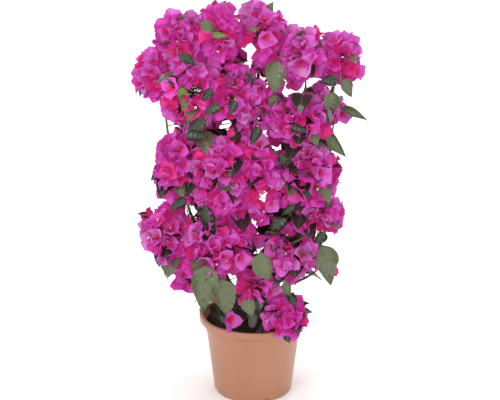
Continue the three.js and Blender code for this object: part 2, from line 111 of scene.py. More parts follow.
floor_shape = bmesh.new()
bmesh.ops.create_grid(floor_shape, x_segments=1, y_segments=1, size=FLOOR_SIDE / 2)
floor = bpy.data.objects.new("floor", as_mesh("floor", floor_shape))
floor.data.materials.append(plain_finish("white_floor", FLOOR_TONE, FLOOR_ROUGHNESS))
scene.collection.objects.link(floor)


# ---------------------------------------------------------------- pot
# A nursery pot moulded in terracotta-coloured plastic: a conical wall with a faint step, a
# rounded lip, and four notches with sloping sides at its foot that lead out from the drain holes.
POT_TOP = 0.147
POT_RIM = 0.095
POT_MOUTH = 0.089
POT_LIP = 0.0127
POT_ROUND = 0.0022
POT_NECK = 0.0863
POT_STEP_DROP = 0.020
POT_STEP = 0.0012
POT_BASE = 0.069
POT_BASE_ROUND = 0.003
POT_BASE_TURN = -8  # degrees, where the round of the base meets the wall
POT_WALL = 0.0022
POT_FLOOR = 0.008
POT_SIDES = 144
NOTCHES = 4
NOTCH_FIRST = -74  # degrees from +X
NOTCH_WIDTH = 0.018
NOTCH_HEIGHT = 0.0055
NOTCH_SLOPE = 0.002
NOTCH_INNER = 0.045
DRAIN_RADIUS = 0.004
DRAIN_PLACE = 0.056
DRAIN_SIDES = 24
POT_EDGE = 0.0004
POT_EDGE_ANGLE = 50  # degrees, and a sharper edge than this is softened
MERGE = 1e-6  # corners nearer than this are one
PATTERN_DETAIL = 6
PATTERN_RAMP = (0.32, 0.68)  # where the drift reaches its dark and its light tone
RELIEF_DETAIL = 5


def wall_radius(z):
    return POT_BASE + (POT_NECK - POT_BASE) * z / (POT_TOP - POT_LIP)


def arc(center, radius, start, end, steps=6):
    """Points (radius, z) on an arc, from one angle in degrees to another."""
    turns = [math.radians(start + (end - start) * i / steps) for i in range(steps + 1)]
    return [(center[0] + radius * math.cos(a), center[1] + radius * math.sin(a)) for a in turns]


def turned(profile, sides):
    """A closed bmesh turned round the Z axis from a profile of (radius, z) that ends on it."""
    rings = len(profile) - 1
    shape = bmesh.new()
    bmesh.ops.create_grid(shape, x_segments=sides, y_segments=rings, size=0.5)
    for corner in shape.verts:
        angle = 2 * math.pi * (corner.co.x + 0.5)
        radius, z = profile[round(rings * (corner.co.y + 0.5))]
        corner.co = (radius * math.cos(angle), radius * math.sin(angle), z)
    bmesh.ops.remove_doubles(shape, verts=shape.verts, dist=MERGE)
    bmesh.ops.recalc_face_normals(shape, faces=shape.faces)
    return shape


def piece(name, shape, material, smooth=True):
    """A bmesh or a mesh as a finished piece that rides on the plant's one body."""
    mesh = as_mesh(name, shape)
    mesh.materials.clear()
    mesh.materials.append(material)
    if smooth:
        mesh.shade_smooth()
    else:
        mesh.shade_flat()
    made = bpy.data.objects.new(name, mesh)
    scene.collection.objects.link(made)
    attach(made, "root")
    return made


def applied(made):
    """The piece's mesh with its modifiers worked into it."""
    bpy.context.view_layer.update()
    shown = made.evaluated_get(bpy.context.evaluated_depsgraph_get())
    mesh = bpy.data.meshes.new_from_object(shown)
    made.modifiers.clear()
    made.data = mesh
    return made


def patterned_finish(name, dark, light, roughness, scale, stretch, relief, relief_scale, depth):
    """A finish whose colour drifts between two tones, over a fine relief."""
    material = plain_finish(name, light, roughness)
    tree = material.node_tree
    shader = tree.nodes["Principled BSDF"]
    place = tree.nodes.new("ShaderNodeTexCoord")
    turn = tree.nodes.new("ShaderNodeMapping")
    turn.inputs["Scale"].default_value = stretch
    drift = tree.nodes.new("ShaderNodeTexNoise")
    drift.inputs["Scale"].default_value = scale
    drift.inputs["Detail"].default_value = PATTERN_DETAIL
    ramp = tree.nodes.new("ShaderNodeValToRGB")
    for stop, position, tone in zip(ramp.color_ramp.elements, PATTERN_RAMP, (dark, light)):
        stop.position = position
        stop.color = (*linear(*tone), 1)
    grain = tree.nodes.new("ShaderNodeTexNoise")
    grain.inputs["Scale"].default_value = relief_scale
    grain.inputs["Detail"].default_value = RELIEF_DETAIL
    bump = tree.nodes.new("ShaderNodeBump")
    bump.inputs["Strength"].default_value = relief
    bump.inputs["Distance"].default_value = depth
    tree.links.new(place.outputs["Object"], turn.inputs["Vector"])
    tree.links.new(turn.outputs["Vector"], drift.inputs["Vector"])
    tree.links.new(turn.outputs["Vector"], grain.inputs["Vector"])
    tree.links.new(drift.outputs["Fac"], ramp.inputs["Fac"])
    tree.links.new(ramp.outputs["Color"], shader.inputs["Base Color"])
    tree.links.new(grain.outputs["Fac"], bump.inputs["Height"])
    tree.links.new(bump.outputs["Normal"], shader.inputs["Normal"])
    return material


lip_foot = POT_TOP - POT_LIP
step_foot = lip_foot - POT_STEP_DROP
pot_profile = [
    (0, 0),
    *arc((POT_BASE - POT_BASE_ROUND, POT_BASE_ROUND), POT_BASE_ROUND, -90, POT_BASE_TURN),
    (wall_radius(step_foot) - POT_STEP, step_foot - POT_STEP),
    (wall_radius(step_foot) - POT_STEP / 3, step_foot),
    (wall_radius(step_foot), step_foot + POT_STEP),
    (POT_NECK, lip_foot - POT_STEP),
    (POT_NECK + POT_STEP, lip_foot),
    *arc((POT_RIM - POT_ROUND, lip_foot + POT_ROUND), POT_ROUND, -90, 0),
    *arc((POT_RIM - POT_ROUND, POT_TOP - POT_ROUND), POT_ROUND, 0, 90),
    *arc((POT_MOUTH + POT_ROUND, POT_TOP - POT_ROUND), POT_ROUND, 90, 180),
    (wall_radius(lip_foot) - POT_WALL, lip_foot),
    (wall_radius(POT_FLOOR) - POT_WALL, POT_FLOOR),
    (0, POT_FLOOR),
]
pot = piece(
    "plastic_pot",
    turned(pot_profile, POT_SIDES),
    patterned_finish("terracotta_plastic", dark=(161, 107, 80), light=(176, 121, 92), roughness=0.34,
                     scale=9.0, stretch=(1, 1, 0.35), relief=0.12, relief_scale=620.0, depth=0.0004),
)
cutters = bmesh.new()
for i in range(NOTCHES):
    turn = Matrix.Rotation(math.radians(NOTCH_FIRST + 360 / NOTCHES * i), 4, "Z")
    depth = POT_RIM - NOTCH_INNER
    middle = Matrix.Translation((NOTCH_INNER + depth / 2, 0, 0))
    channel = bmesh.ops.create_cube(cutters, size=1, matrix=turn @ middle @ Matrix.Diagonal(
        (depth, NOTCH_WIDTH, 2 * NOTCH_HEIGHT, 1)))["verts"]
    across = turn @ Vector((0, 1, 0))
    for corner in channel:
        if corner.co.z < 0:
            corner.co += across * math.copysign(2 * NOTCH_SLOPE, across.dot(corner.co))
    bmesh.ops.create_cone(cutters, cap_ends=True, segments=DRAIN_SIDES, radius1=DRAIN_RADIUS,
                          radius2=DRAIN_RADIUS, depth=4 * POT_FLOOR,
                          matrix=turn @ Matrix.Translation((DRAIN_PLACE, 0, 0)))
cutter = piece("notch_cutter", cutters, pot.data.materials[0], smooth=False)
cut = pot.modifiers.new("notches", "BOOLEAN")
cut.object = cutter
cut.operation = "DIFFERENCE"
cut.use_self = True
applied(pot)
bpy.data.objects.remove(cutter)
soften = pot.modifiers.new("soften", "BEVEL")
soften.width = POT_EDGE
soften.segments = 2
soften.limit_method = "ANGLE"
soften.angle_limit = math.radians(POT_EDGE_ANGLE)
applied(pot)
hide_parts("pot")


# ---------------------------------------------------------------- compost
# Dark peat compost fills the pot to a little below its rim, level in the middle and lower at
# the edge, with loose crumbs and a few pale bits of bark lying on it.
COMPOST_TOP = 0.132
COMPOST_DROP = 0.003
COMPOST_FLAT = 0.034
COMPOST_GAP = 0.0003
COMPOST_SINK = 0.001
COMPOST_CURVE = 1.4  # how steeply it falls off towards the wall
COMPOST_RINGS = 34
COMPOST_SIDES = 120
LUMP_HEIGHT = 0.0022
LUMP_SCALE = 95
LUMP_NOISE = (0.8, 2.1, 4)  # how rough, how much finer each layer is, how many layers
LUMPS_FADE = 0.004  # they fade out so near the wall
CRUMBS = 1500
CRUMB_KINDS = 4
CRUMB_SIZE = (0.0009, 0.0026)
CRUMB_DENTS = 0.45
CRUMB_DENT_SCALE = 1.7
CRUMBS_APART = 9.0  # how far apart in the noise the kinds lie
CRUMB_TILT = 3.0  # radians either way
CHIPS = 45
CHIP_LENGTH = (0.004, 0.011)
CHIP_SHAPE = (1, 0.3, 0.14)  # shares of its length
CHIP_EDGE = 0.04
CHIP_TILT = 0.25
STREWN_SEED = 5
STREWN_CLEAR = 0.003
STREWN_LIFT = 0.2  # share of its size that a crumb sits up
DICE_STRIDE = 1664525
DICE_SHIFT = 1013904223
DICE_STATES = 2 ** 32


def dice(seed):
    """The small fixed-seed generator that the whole plant is grown by."""
    state = seed

    def roll(low=0.0, high=1.0):
        nonlocal state
        state = (state * DICE_STRIDE + DICE_SHIFT) % DICE_STATES
        return low + (high - low) * state / DICE_STATES

    return roll


compost_edge = wall_radius(COMPOST_TOP - COMPOST_DROP) - POT_WALL - COMPOST_GAP


def compost_height(x, y):
    """The surface of the compost at a place, with its lumps."""
    radius = math.hypot(x, y)
    slope = max(0.0, (radius - COMPOST_FLAT) / (compost_edge - COMPOST_FLAT))
    lumps = noise.fractal(Vector((x, y, 0)) * LUMP_SCALE, *LUMP_NOISE) * LUMP_HEIGHT
    settle = min(1.0, (compost_edge - radius) / LUMPS_FADE)
    return COMPOST_TOP - COMPOST_SINK - COMPOST_DROP * slope ** COMPOST_CURVE + lumps * settle


def pattern_of(shape):
    """A shape as (corners, corner numbers of each face in turn, corners per face)."""
    mesh = as_mesh("pattern", shape)
    corners = np.empty((len(mesh.vertices), 3), np.float32)
    mesh.vertices.foreach_get("co", corners.ravel())
    loops = np.empty(len(mesh.loops), np.int32)
    mesh.loops.foreach_get("vertex_index", loops)
    totals = np.empty(len(mesh.polygons), np.int32)
    mesh.polygons.foreach_get("loop_total", totals)
    bpy.data.meshes.remove(mesh)
    return corners, loops, totals


def array_of(name, copies):
    """One joined mesh from (pattern, 4x4 placement) pairs."""
    by_pattern = {}
    for pattern, placement in copies:
        by_pattern.setdefault(id(pattern), (pattern, []))[1].append(placement)
    corners, loops, totals, first = [], [], [], 0
    for (shape, shape_loops, shape_totals), placements in by_pattern.values():
        turns = np.array(placements, np.float64)
        placed = np.einsum("kij,nj->kni", turns[:, :3, :3], shape) + turns[:, None, :3, 3]
        corners.append(placed.reshape(-1, 3))
        offsets = first + np.arange(len(turns)) * len(shape)
        loops.append((shape_loops[None, :] + offsets[:, None]).ravel())
        totals.append(np.tile(shape_totals, len(turns)))
        first += len(turns) * len(shape)
    corners, loops, totals = map(np.concatenate, (corners, loops, totals))
    mesh = bpy.data.meshes.new(name)
    mesh.vertices.add(len(corners))
    mesh.vertices.foreach_set("co", corners.astype(np.float32).ravel())
    mesh.loops.add(len(loops))
    mesh.loops.foreach_set("vertex_index", loops.astype(np.int32))
    mesh.polygons.add(len(totals))
    mesh.polygons.foreach_set("loop_start", (np.cumsum(totals) - totals).astype(np.int32))
    mesh.update(calc_edges=True)
    mesh.validate()
    return mesh


compost_foot = wall_radius(POT_FLOOR) - POT_WALL - COMPOST_GAP
compost_profile = [(0, POT_FLOOR + COMPOST_GAP), (compost_foot, POT_FLOOR + COMPOST_GAP)]
compost_profile += [(compost_edge * (1 - i / COMPOST_RINGS), COMPOST_TOP) for i in range(COMPOST_RINGS + 1)]
compost_shape = turned(compost_profile, COMPOST_SIDES)
for corner in compost_shape.verts:
    if corner.co.z > POT_FLOOR + 2 * COMPOST_GAP:
        corner.co.z = compost_height(corner.co.x, corner.co.y)
peat = patterned_finish("peat", dark=(18, 13, 10), light=(52, 39, 32), roughness=0.95, scale=210.0,
                        stretch=(1, 1, 1), relief=0.6, relief_scale=900.0, depth=0.001)
compost = piece("compost", compost_shape, peat)
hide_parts("soil")

roll = dice(STREWN_SEED)
crumb_shapes = []
for k in range(CRUMB_KINDS):
    crumb = bmesh.new()
    bmesh.ops.create_icosphere(crumb, subdivisions=1, radius=1)
    for corner in crumb.verts:
        place = corner.co * CRUMB_DENT_SCALE + Vector((CRUMBS_APART * k, 0, 0))
        corner.co *= 1 + CRUMB_DENTS * noise.noise(place)
    crumb_shapes.append(pattern_of(crumb))
chip = bmesh.new()
bmesh.ops.create_cube(chip, size=1, matrix=Matrix.Diagonal((*CHIP_SHAPE, 1)))
bmesh.ops.bevel(chip, geom=chip.edges[:], offset=CHIP_EDGE, offset_type="OFFSET", affect="EDGES",
                segments=1, profile=0.5, material=-1)
chip_shape = pattern_of(chip)


def strewn(count, sizes, shapes, tilt):
    """Copies strewn over the compost, clear of the pot's wall and tilted by up to so much."""
    copies = []
    while len(copies) < count:
        radius = (compost_edge - STREWN_CLEAR) * math.sqrt(roll())
        bearing = roll(0, 2 * math.pi)
        size = roll(*sizes)
        x, y = radius * math.cos(bearing), radius * math.sin(bearing)
        turn = Matrix.Rotation(roll(0, 2 * math.pi), 4, "Z") @ Matrix.Rotation(roll(-tilt, tilt), 4, "X")
        height = compost_height(x, y) + STREWN_LIFT * size * min(tilt, 1)
        place = Matrix.Translation((x, y, height))
        copies.append((shapes[int(roll(0, len(shapes)))], np.array(place @ turn @ Matrix.Scale(size, 4))))
    return copies


peat_crumbs = patterned_finish("peat_crumbs", dark=(34, 24, 19), light=(66, 50, 41), roughness=0.95,
                               scale=260.0, stretch=(1, 1, 1), relief=0.5, relief_scale=1200.0,
                               depth=0.0004)
dry_bark = patterned_finish("dry_bark", dark=(96, 74, 54), light=(140, 114, 86), roughness=0.85,
                            scale=240.0, stretch=(1, 1, 1), relief=0.4, relief_scale=900.0,
                            depth=0.0004)
piece("compost_crumbs", array_of("crumbs", strewn(CRUMBS, CRUMB_SIZE, crumb_shapes, CRUMB_TILT)),
      peat_crumbs, smooth=False)
piece("bark_chips", array_of("chips", strewn(CHIPS, CHIP_LENGTH, [chip_shape], CHIP_TILT)),
      dry_bark, smooth=False)


# ---------------------------------------------------------------- trunk, stems and boughs
# A short woody trunk with spread roots divides into five long stems, and a bough leaves them
# for each mass of bloom. The bark is grey-brown, ridged lengthwise and thinner on young wood.
TRUNK_FOOT = (0.003, 0.002, 0.1323)
TRUNK_HEAD = (-0.002, 0.006, 0.188)
TRUNK_RADII = (0.0086, 0.0074)
TRUNK_FLARE = 0.0055
TRUNK_FLARE_FADE = 0.22
TRUNK_ROOTS = 4
ROOT_DEPTH = 0.4
ROOT_TURN = 1  # radians from +X
TRUNK_SIDES = 48
TRUNK_RINGS = 40
STEM_RADII = (0.0054, 0.0027)
BOUGH_ROOT = 0.0033
BOUGH_TIP_SHARE = 0.6
BOUGH_PARENT_SHARE = 0.78
BOUGH_LEAVE = (0.34, 0.2)  # handles of its curve, out and up, as shares of its span
BOUGH_ARRIVE = (0.16, 0.3)
COLLAR = 0.5  # how much a limb swells where it leaves its parent
COLLAR_FADE = 0.007
LIMB_RING_STEP = 0.003
LEAST_RINGS = 6
STEM_ROUNDNESS = 5
BOUGH_ROUNDNESS = 3
LENGTH_STEPS = 20
CUT_STEPS = 60
TRUNK_RIDGE = 0.0011
TRUNK_GRAIN = (260, 260, 90)  # ridges to a metre across the wood and along it
RIDGE = 0.11  # depth of the bark's relief, as a share of the limb's radius
LIMB_GRAIN = (520, 520, 110)
RIDGE_SINK = 0.6
FINE_RIDGE = (0.5, 2.7)  # the finer ridges' depth and number, beside the coarse ones'

FULLNESS = 2.8  # 2 makes a mass an ellipsoid, and more fills its corners
OVERLAP = 1.12
WALL_MARGIN = 0.00035
ENTRY_OUTLINE = 0.86
ENTRY_MARGIN = 0.0025


class Mass:
    """A mass of bloom: its heart, its reach along X, Y and Z, the share of its sprays that are
    leaves and, where no main stem ends in it, the limb that bears it and how far up that is."""

    def __init__(self, place, heart, reach, leafy, on=None, at=None):
        self.place, self.leafy, self.on, self.at = place, leafy, on, at
        self.center, self.radii = np.array(heart), np.array(reach)


MASSES = [
    Mass("top_left", (-0.120, -0.010, 0.650), (0.050, 0.045, 0.055), 0),
    Mass("top_center_left", (-0.055, -0.030, 0.665), (0.040, 0.045, 0.060), 0, "stem_center", 0.62),
    Mass("top_center", (0.010, -0.015, 0.660), (0.050, 0.045, 0.060), 0),
    Mass("top_right", (0.080, -0.030, 0.630), (0.045, 0.050, 0.050), 0, "stem_right", 0.7),
    Mass("right_tip", (0.145, 0, 0.615), (0.040, 0.040, 0.050), 0),
    Mass("far_left", (-0.165, -0.005, 0.590), (0.040, 0.040, 0.050), 0, "stem_left", 0.62),
    Mass("upper_left", (-0.100, -0.045, 0.570), (0.060, 0.050, 0.065), 0, "stem_left", 0.7),
    Mass("upper_center", (-0.035, -0.045, 0.560), (0.050, 0.050, 0.075), 0.1, "stem_center", 0.5),
    Mass("upper_right", (0.075, -0.045, 0.520), (0.065, 0.050, 0.050), 0.2, "stem_right", 0.55),
    Mass("right_leaves", (0.145, -0.005, 0.525), (0.030, 0.040, 0.065), 0.8, "stem_right", 0.62),
    Mass("middle_left", (-0.130, -0.040, 0.435), (0.040, 0.050, 0.070), 0.1, "stem_left", 0.42),
    Mass("middle", (-0.060, -0.060, 0.430), (0.055, 0.050, 0.075), 0.1, "stem_center", 0.3),
    Mass("middle_center", (0.005, -0.050, 0.430), (0.055, 0.050, 0.080), 0, "stem_center", 0.36),
    Mass("middle_right", (0.090, -0.045, 0.425), (0.060, 0.050, 0.070), 0.1, "stem_right", 0.43),
    Mass("low_left", (-0.145, -0.025, 0.295), (0.055, 0.050, 0.070), 0.1, "stem_left", 0.24),
    Mass("low_front", (-0.065, -0.060, 0.295), (0.075, 0.050, 0.075), 0.1, "stem_left", 0.17),
    Mass("low_right", (0.110, -0.040, 0.340), (0.050, 0.045, 0.045), 0.2, "stem_right", 0.3),
    Mass("low_center_right", (0.065, -0.060, 0.285), (0.055, 0.050, 0.060), 0.2, "stem_right", 0.2),
    Mass("low_right_leaves", (0.125, -0.035, 0.260), (0.030, 0.040, 0.050), 0.9, "stem_right", 0.12),
    Mass("foot_center", (0, -0.070, 0.225), (0.055, 0.040, 0.035), 0, "trunk", 0.8),
    Mass("foot_right", (0.055, -0.080, 0.175), (0.045, 0.045, 0.045), 0, "trunk", 0.5),
    Mass("foot_leaves", (-0.070, -0.060, 0.200), (0.040, 0.045, 0.045), 0.9, "stem_left", 0.08),
    Mass("back_top_left", (-0.080, 0.060, 0.610), (0.070, 0.050, 0.070), 0.1),
    Mass("back_top_right", (0.040, 0.060, 0.610), (0.060, 0.050, 0.050), 0.1),
    Mass("back_left", (-0.070, 0.065, 0.455), (0.075, 0.050, 0.090), 0.2, "stem_back_left", 0.46),
    Mass("back_upper_right", (0.120, 0.060, 0.500), (0.045, 0.050, 0.050), 0.2, "stem_back_right", 0.6),
    Mass("back_right", (0.075, 0.065, 0.405), (0.070, 0.050, 0.070), 0.2, "stem_back_right", 0.44),
    Mass("back_low_left", (-0.105, 0.060, 0.280), (0.065, 0.050, 0.075), 0.3, "stem_back_left", 0.18),
    Mass("back_low_right", (0.080, 0.060, 0.300), (0.060, 0.050, 0.065), 0.3, "stem_back_right", 0.2),
]
# name, how far up the trunk it leaves, the two handles of its curve, the mass that it ends in
STEMS = [
    ("stem_left", 0.26, (-0.080, 0, 0.210), (-0.120, 0.010, 0.430), "top_left"),
    ("stem_right", 0.38, (0.085, 0, 0.215), (0.110, 0.005, 0.440), "right_tip"),
    ("stem_back_left", 0.46, (-0.060, 0.050, 0.230), (-0.060, 0.010, 0.450), "back_top_left"),
    ("stem_back_right", 0.58, (0.060, 0.050, 0.240), (0.060, 0.010, 0.470), "back_top_right"),
    ("stem_center", 0.9, (-0.020, 0.005, 0.300), (0.010, 0.010, 0.480), "top_center"),
]
UP = np.array((0.0, 0.0, 1.0))


def unit(vector):
    return vector / np.linalg.norm(vector)


def give_walls(own):
    """A mass keeps to a full rounded form, cut by a wall between it and each neighbour close by."""
    normals, offsets = [], []
    for other in MASSES:
        if other is own:
            continue
        away = other.center - own.center
        distance = np.linalg.norm(away)
        normal = away / distance
        own_reach = np.linalg.norm(normal * own.radii)
        other_reach = np.linalg.norm(normal * other.radii)
        if distance <= OVERLAP * (own_reach + other_reach):
            share = own_reach / (own_reach + other_reach)
            normals.append(normal)
            offsets.append(normal @ own.center + distance * share - WALL_MARGIN)
    own.walls, own.offsets = np.array(normals), np.array(offsets)


def fullness_of(own, points):
    """How far points lie from the heart, as a share of the mass's reach in their direction."""
    return np.sum(np.abs((points - own.center) / own.radii) ** FULLNESS, axis=-1) ** (1 / FULLNESS)


def in_space(own, point, outline, margin):
    if fullness_of(own, point) > outline:
        return False
    return bool(np.all(own.walls @ point < own.offsets - margin))


class Limb:
    """A cubic curve that the limb follows from t = 0 to its end, with its radii there."""

    def __init__(self, handles, radii):
        self.handles = np.array(handles, float)
        self.radii, self.end = radii, 1.0

    def point(self, t):
        a, b, c, d = self.handles
        s = 1 - t
        return s ** 3 * a + 3 * s * s * t * b + 3 * s * t * t * c + t ** 3 * d

    def radius(self, t):
        return self.radii[0] + (self.radii[1] - self.radii[0]) * t / self.end

    def cut_at(self, own):
        """The limb ends where it enters the space of its mass."""
        step = CUT_STEPS
        while step > 0 and in_space(own, self.point((step - 1) / CUT_STEPS), ENTRY_OUTLINE, ENTRY_MARGIN):
            step -= 1
        self.end = step / CUT_STEPS
        return self


for own in MASSES:
    give_walls(own)
by_place = {own.place: own for own in MASSES}
foot, head = np.array(TRUNK_FOOT), np.array(TRUNK_HEAD)
limbs = {"trunk": Limb([foot + (head - foot) * k / 3 for k in range(4)], TRUNK_RADII)}
for name, at, low_bend, high_bend, ends in STEMS:
    own = by_place[ends]
    handles = [limbs["trunk"].point(at), low_bend, high_bend, own.center]
    own.limb = limbs[name] = Limb(handles, STEM_RADII).cut_at(own)
for own in MASSES:
    if own.on is None:
        continue
    parent = limbs[own.on]
    root = parent.point(own.at)
    span = np.linalg.norm(own.center - root)
    outward = unit((own.center - root) * (1, 1, 0))
    leave = root + span * (BOUGH_LEAVE[0] * outward + BOUGH_LEAVE[1] * UP)
    arrive = own.center - span * (BOUGH_ARRIVE[0] * outward + BOUGH_ARRIVE[1] * UP)
    radius = min(BOUGH_ROOT, BOUGH_PARENT_SHARE * parent.radius(own.at))
    own.limb = Limb([root, leave, arrive, own.center], (radius, BOUGH_TIP_SHARE * radius))
    if own.on == "trunk":
        own.limb.end = 0.0
    else:
        limbs["bough_" + own.place] = own.limb.cut_at(own)


def rods(name, lines, roundness):
    """Tubes along lines of (points, radii) as one mesh, with 4 + 2 * roundness sides."""
    curve = bpy.data.curves.new(name, "CURVE")
    curve.dimensions = "3D"
    curve.fill_mode = "FULL"
    curve.bevel_depth = 1.0
    curve.bevel_resolution = roundness
    curve.use_fill_caps = True
    for points, radii in lines:
        spline = curve.splines.new("POLY")
        spline.points.add(len(points) - 1)
        spline.points.foreach_set("co", np.column_stack((points, np.ones(len(points)))).ravel())
        spline.points.foreach_set("radius", np.array(radii, float))
    tubes = bpy.data.objects.new(name, curve)
    scene.collection.objects.link(tubes)
    mesh = bpy.data.meshes.new_from_object(tubes)
    bpy.data.objects.remove(tubes)
    return mesh


def trunk_shape():
    """A sheet rolled into a stack of rings, with lobed roots that fade into the round trunk."""
    shape = bmesh.new()
    bmesh.ops.create_grid(shape, x_segments=TRUNK_SIDES, y_segments=TRUNK_RINGS, size=0.5)
    for corner in shape.verts:
        angle = 2 * math.pi * (corner.co.x + 0.5)
        t = corner.co.y + 0.5
        lobes = (1 - ROOT_DEPTH) + ROOT_DEPTH * math.cos(TRUNK_ROOTS * angle + ROOT_TURN)
        radius = limbs["trunk"].radius(t) + TRUNK_FLARE * math.exp(-t / TRUNK_FLARE_FADE) * lobes
        side = np.array((math.cos(angle), math.sin(angle), 0))
        corner.co = limbs["trunk"].point(t) + radius * side
    bmesh.ops.remove_doubles(shape, verts=shape.verts, dist=MERGE)
    bmesh.ops.holes_fill(shape, edges=shape.edges, sides=0)
    bmesh.ops.recalc_face_normals(shape, faces=shape.faces)
    return shape


def limb_line(limb):
    """Points along a limb with their radii, swollen into a collar at its root."""
    stops = [limb.point(k / LENGTH_STEPS * limb.end) for k in range(LENGTH_STEPS + 1)]
    reach = sum(np.linalg.norm(after - before) for before, after in zip(stops, stops[1:]))
    steps = max(LEAST_RINGS, round(reach / LIMB_RING_STEP))
    shares = [limb.end * k / steps for k in range(steps + 1)]
    swell = [1 + COLLAR * math.exp(-reach * k / steps / COLLAR_FADE) for k in range(steps + 1)]
    return [limb.point(t) for t in shares], [limb.radius(t) * s for t, s in zip(shares, swell)]


def carve_bark(mesh, depth, grain):
    """Moves each corner along its normal by a ridged noise drawn out along the wood."""
    places = np.empty(len(mesh.vertices) * 3)
    mesh.vertices.foreach_get("co", places)
    places = places.reshape(-1, 3)
    normals = np.empty(len(mesh.vertices) * 3)
    mesh.vertex_normals.foreach_get("vector", normals)
    fine_depth, fine_number = FINE_RIDGE
    shifts = [depth * (abs(noise.noise(Vector(place * grain))) * 2 - RIDGE_SINK
                       + fine_depth * noise.noise(Vector(place * grain * fine_number)))
              for place in places]
    places += normals.reshape(-1, 3) * np.array(shifts)[:, None]
    mesh.vertices.foreach_set("co", places.ravel())
    mesh.update()


wood = bmesh.new()
parts = [(as_mesh("trunk", trunk_shape()), TRUNK_RIDGE, TRUNK_GRAIN)]
for name, limb in limbs.items():
    if name != "trunk":
        roundness = STEM_ROUNDNESS if name.startswith("stem") else BOUGH_ROUNDNESS
        mesh = rods(name, [limb_line(limb)], roundness)
        parts.append((mesh, limb.radii[0] * RIDGE, LIMB_GRAIN))
for part, depth, grain in parts:
    carve_bark(part, depth, np.array(grain, float))
    wood.from_mesh(part)
    bpy.data.meshes.remove(part)
bark = patterned_finish("bark", dark=(74, 56, 42), light=(142, 118, 92), roughness=0.85, scale=120.0,
                        stretch=(1, 1, 0.25), relief=0.5, relief_scale=700.0, depth=0.0006)
limbs_piece = piece("trunk_stems_and_boughs", wood, bark)
limb_nodes = [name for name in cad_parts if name.startswith(("trunk", "stem", "bough"))]
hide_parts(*limb_nodes)


# ---------------------------------------------------------------- bracts and flowers
# What shows as a flower is three papery bracts, broad with a short point and folded along the rib,
# round tiny tubes, some of which open into a cream-coloured star. Each bract's foot is painted a
# darker hot pink, painted shade deep in the cupped flower.
BRACTS = 3
BRACT_ROWS = 7
BRACT_COLUMNS = 4
BRACT_LENGTH = 0.031
BRACT_WIDTH = 0.98  # share of its length
BRACT_CROWDING = 1.3  # more than 1 sets its rows closer together towards the tip
BRACT_OUTLINE = [(0, 0.12), (0.08, 0.46), (0.2, 0.80), (0.36, 1.0), (0.54, 0.99), (0.72, 0.83),
                 (0.86, 0.46), (0.95, 0.15), (1, 0.0)]  # (share of the length, of the half width)
# angle from the flower's axis at its foot and at its tip, cup, crinkle
BRACT_FORMS = [(10, 28, 0.40, 0.24), (14, 38, 0.36, 0.30), (18, 48, 0.30, 0.32),
               (26, 62, 0.24, 0.34), (16, 44, 0.38, 0.30), (32, 74, 0.18, 0.34),
               (12, 34, 0.30, 0.34), (22, 54, 0.40, 0.26)]
# how much a bract's lean in degrees, size, turn and twist differ from the others', and how the
# difference changes from bract to bract and from flower to flower
BRACT_SPREADS = [(7, 2.3, 1), (0.07, 4.1, 1.7), (0.14, 5, 1), (0.18, 3.1, 2)]
FLOWER_SEED_STEP = 1.3
TIP_SPREAD = 1.6  # a bract's tip leans so much further than its foot
# The foot of each bract is painted a darker hot pink: painted shade deep in the cupped flower.
SHADED_THROAT_SHARE = 0.38  # share of a bract's length that is hot pink
BUD_FORM = (6, 24, 0.42, 0.05)
BUD_SIZE = 0.6
BUD_SEED = 0.4
SPINE_STEPS = 40
CUP_CURVE = 1.4
CRINKLES = 9
CRINKLE_SHIFTS = (3, 2.0)  # from blade to blade, and from one side of the rib to the other
RIB_FOLD = 0.02
EDGE_PULL = 0.25
VEIN_DEPTH = 0.06
VEIN_SLANT = 0.18
VEIN_FADE = 3  # the more, the nearer to the edge a vein fades out
BLADE_MERGE = 1e-4
TUBE_LENGTH = 0.015
TUBE_RADII = (0.0009, 0.0015)
TUBE_SIDES = 4
TUBE_LEAN = 0.2
TUBE_BEARINGS = (0, 120, 240)
TUBE_MIDDLE = 0.62  # share of its length that a tube's middle stands above the flower's foot
STAR_HEIGHT = 1.13
STAR_POINTS = 5
STAR_RADII = (0.0028, 0.0013)


def spine_of(foot_angle, tip_angle):
    """The middle line of a blade of length 1, as (out, up) points, and its angle between them."""
    points, angles = [(0.0, 0.0)], []
    for k in range(SPINE_STEPS):
        angle = math.radians(foot_angle + (tip_angle - foot_angle) * (k + 0.5) / SPINE_STEPS)
        out, up = points[-1]
        points.append((out + math.sin(angle) / SPINE_STEPS, up + math.cos(angle) / SPINE_STEPS))
        angles.append(angle)
    return points, angles


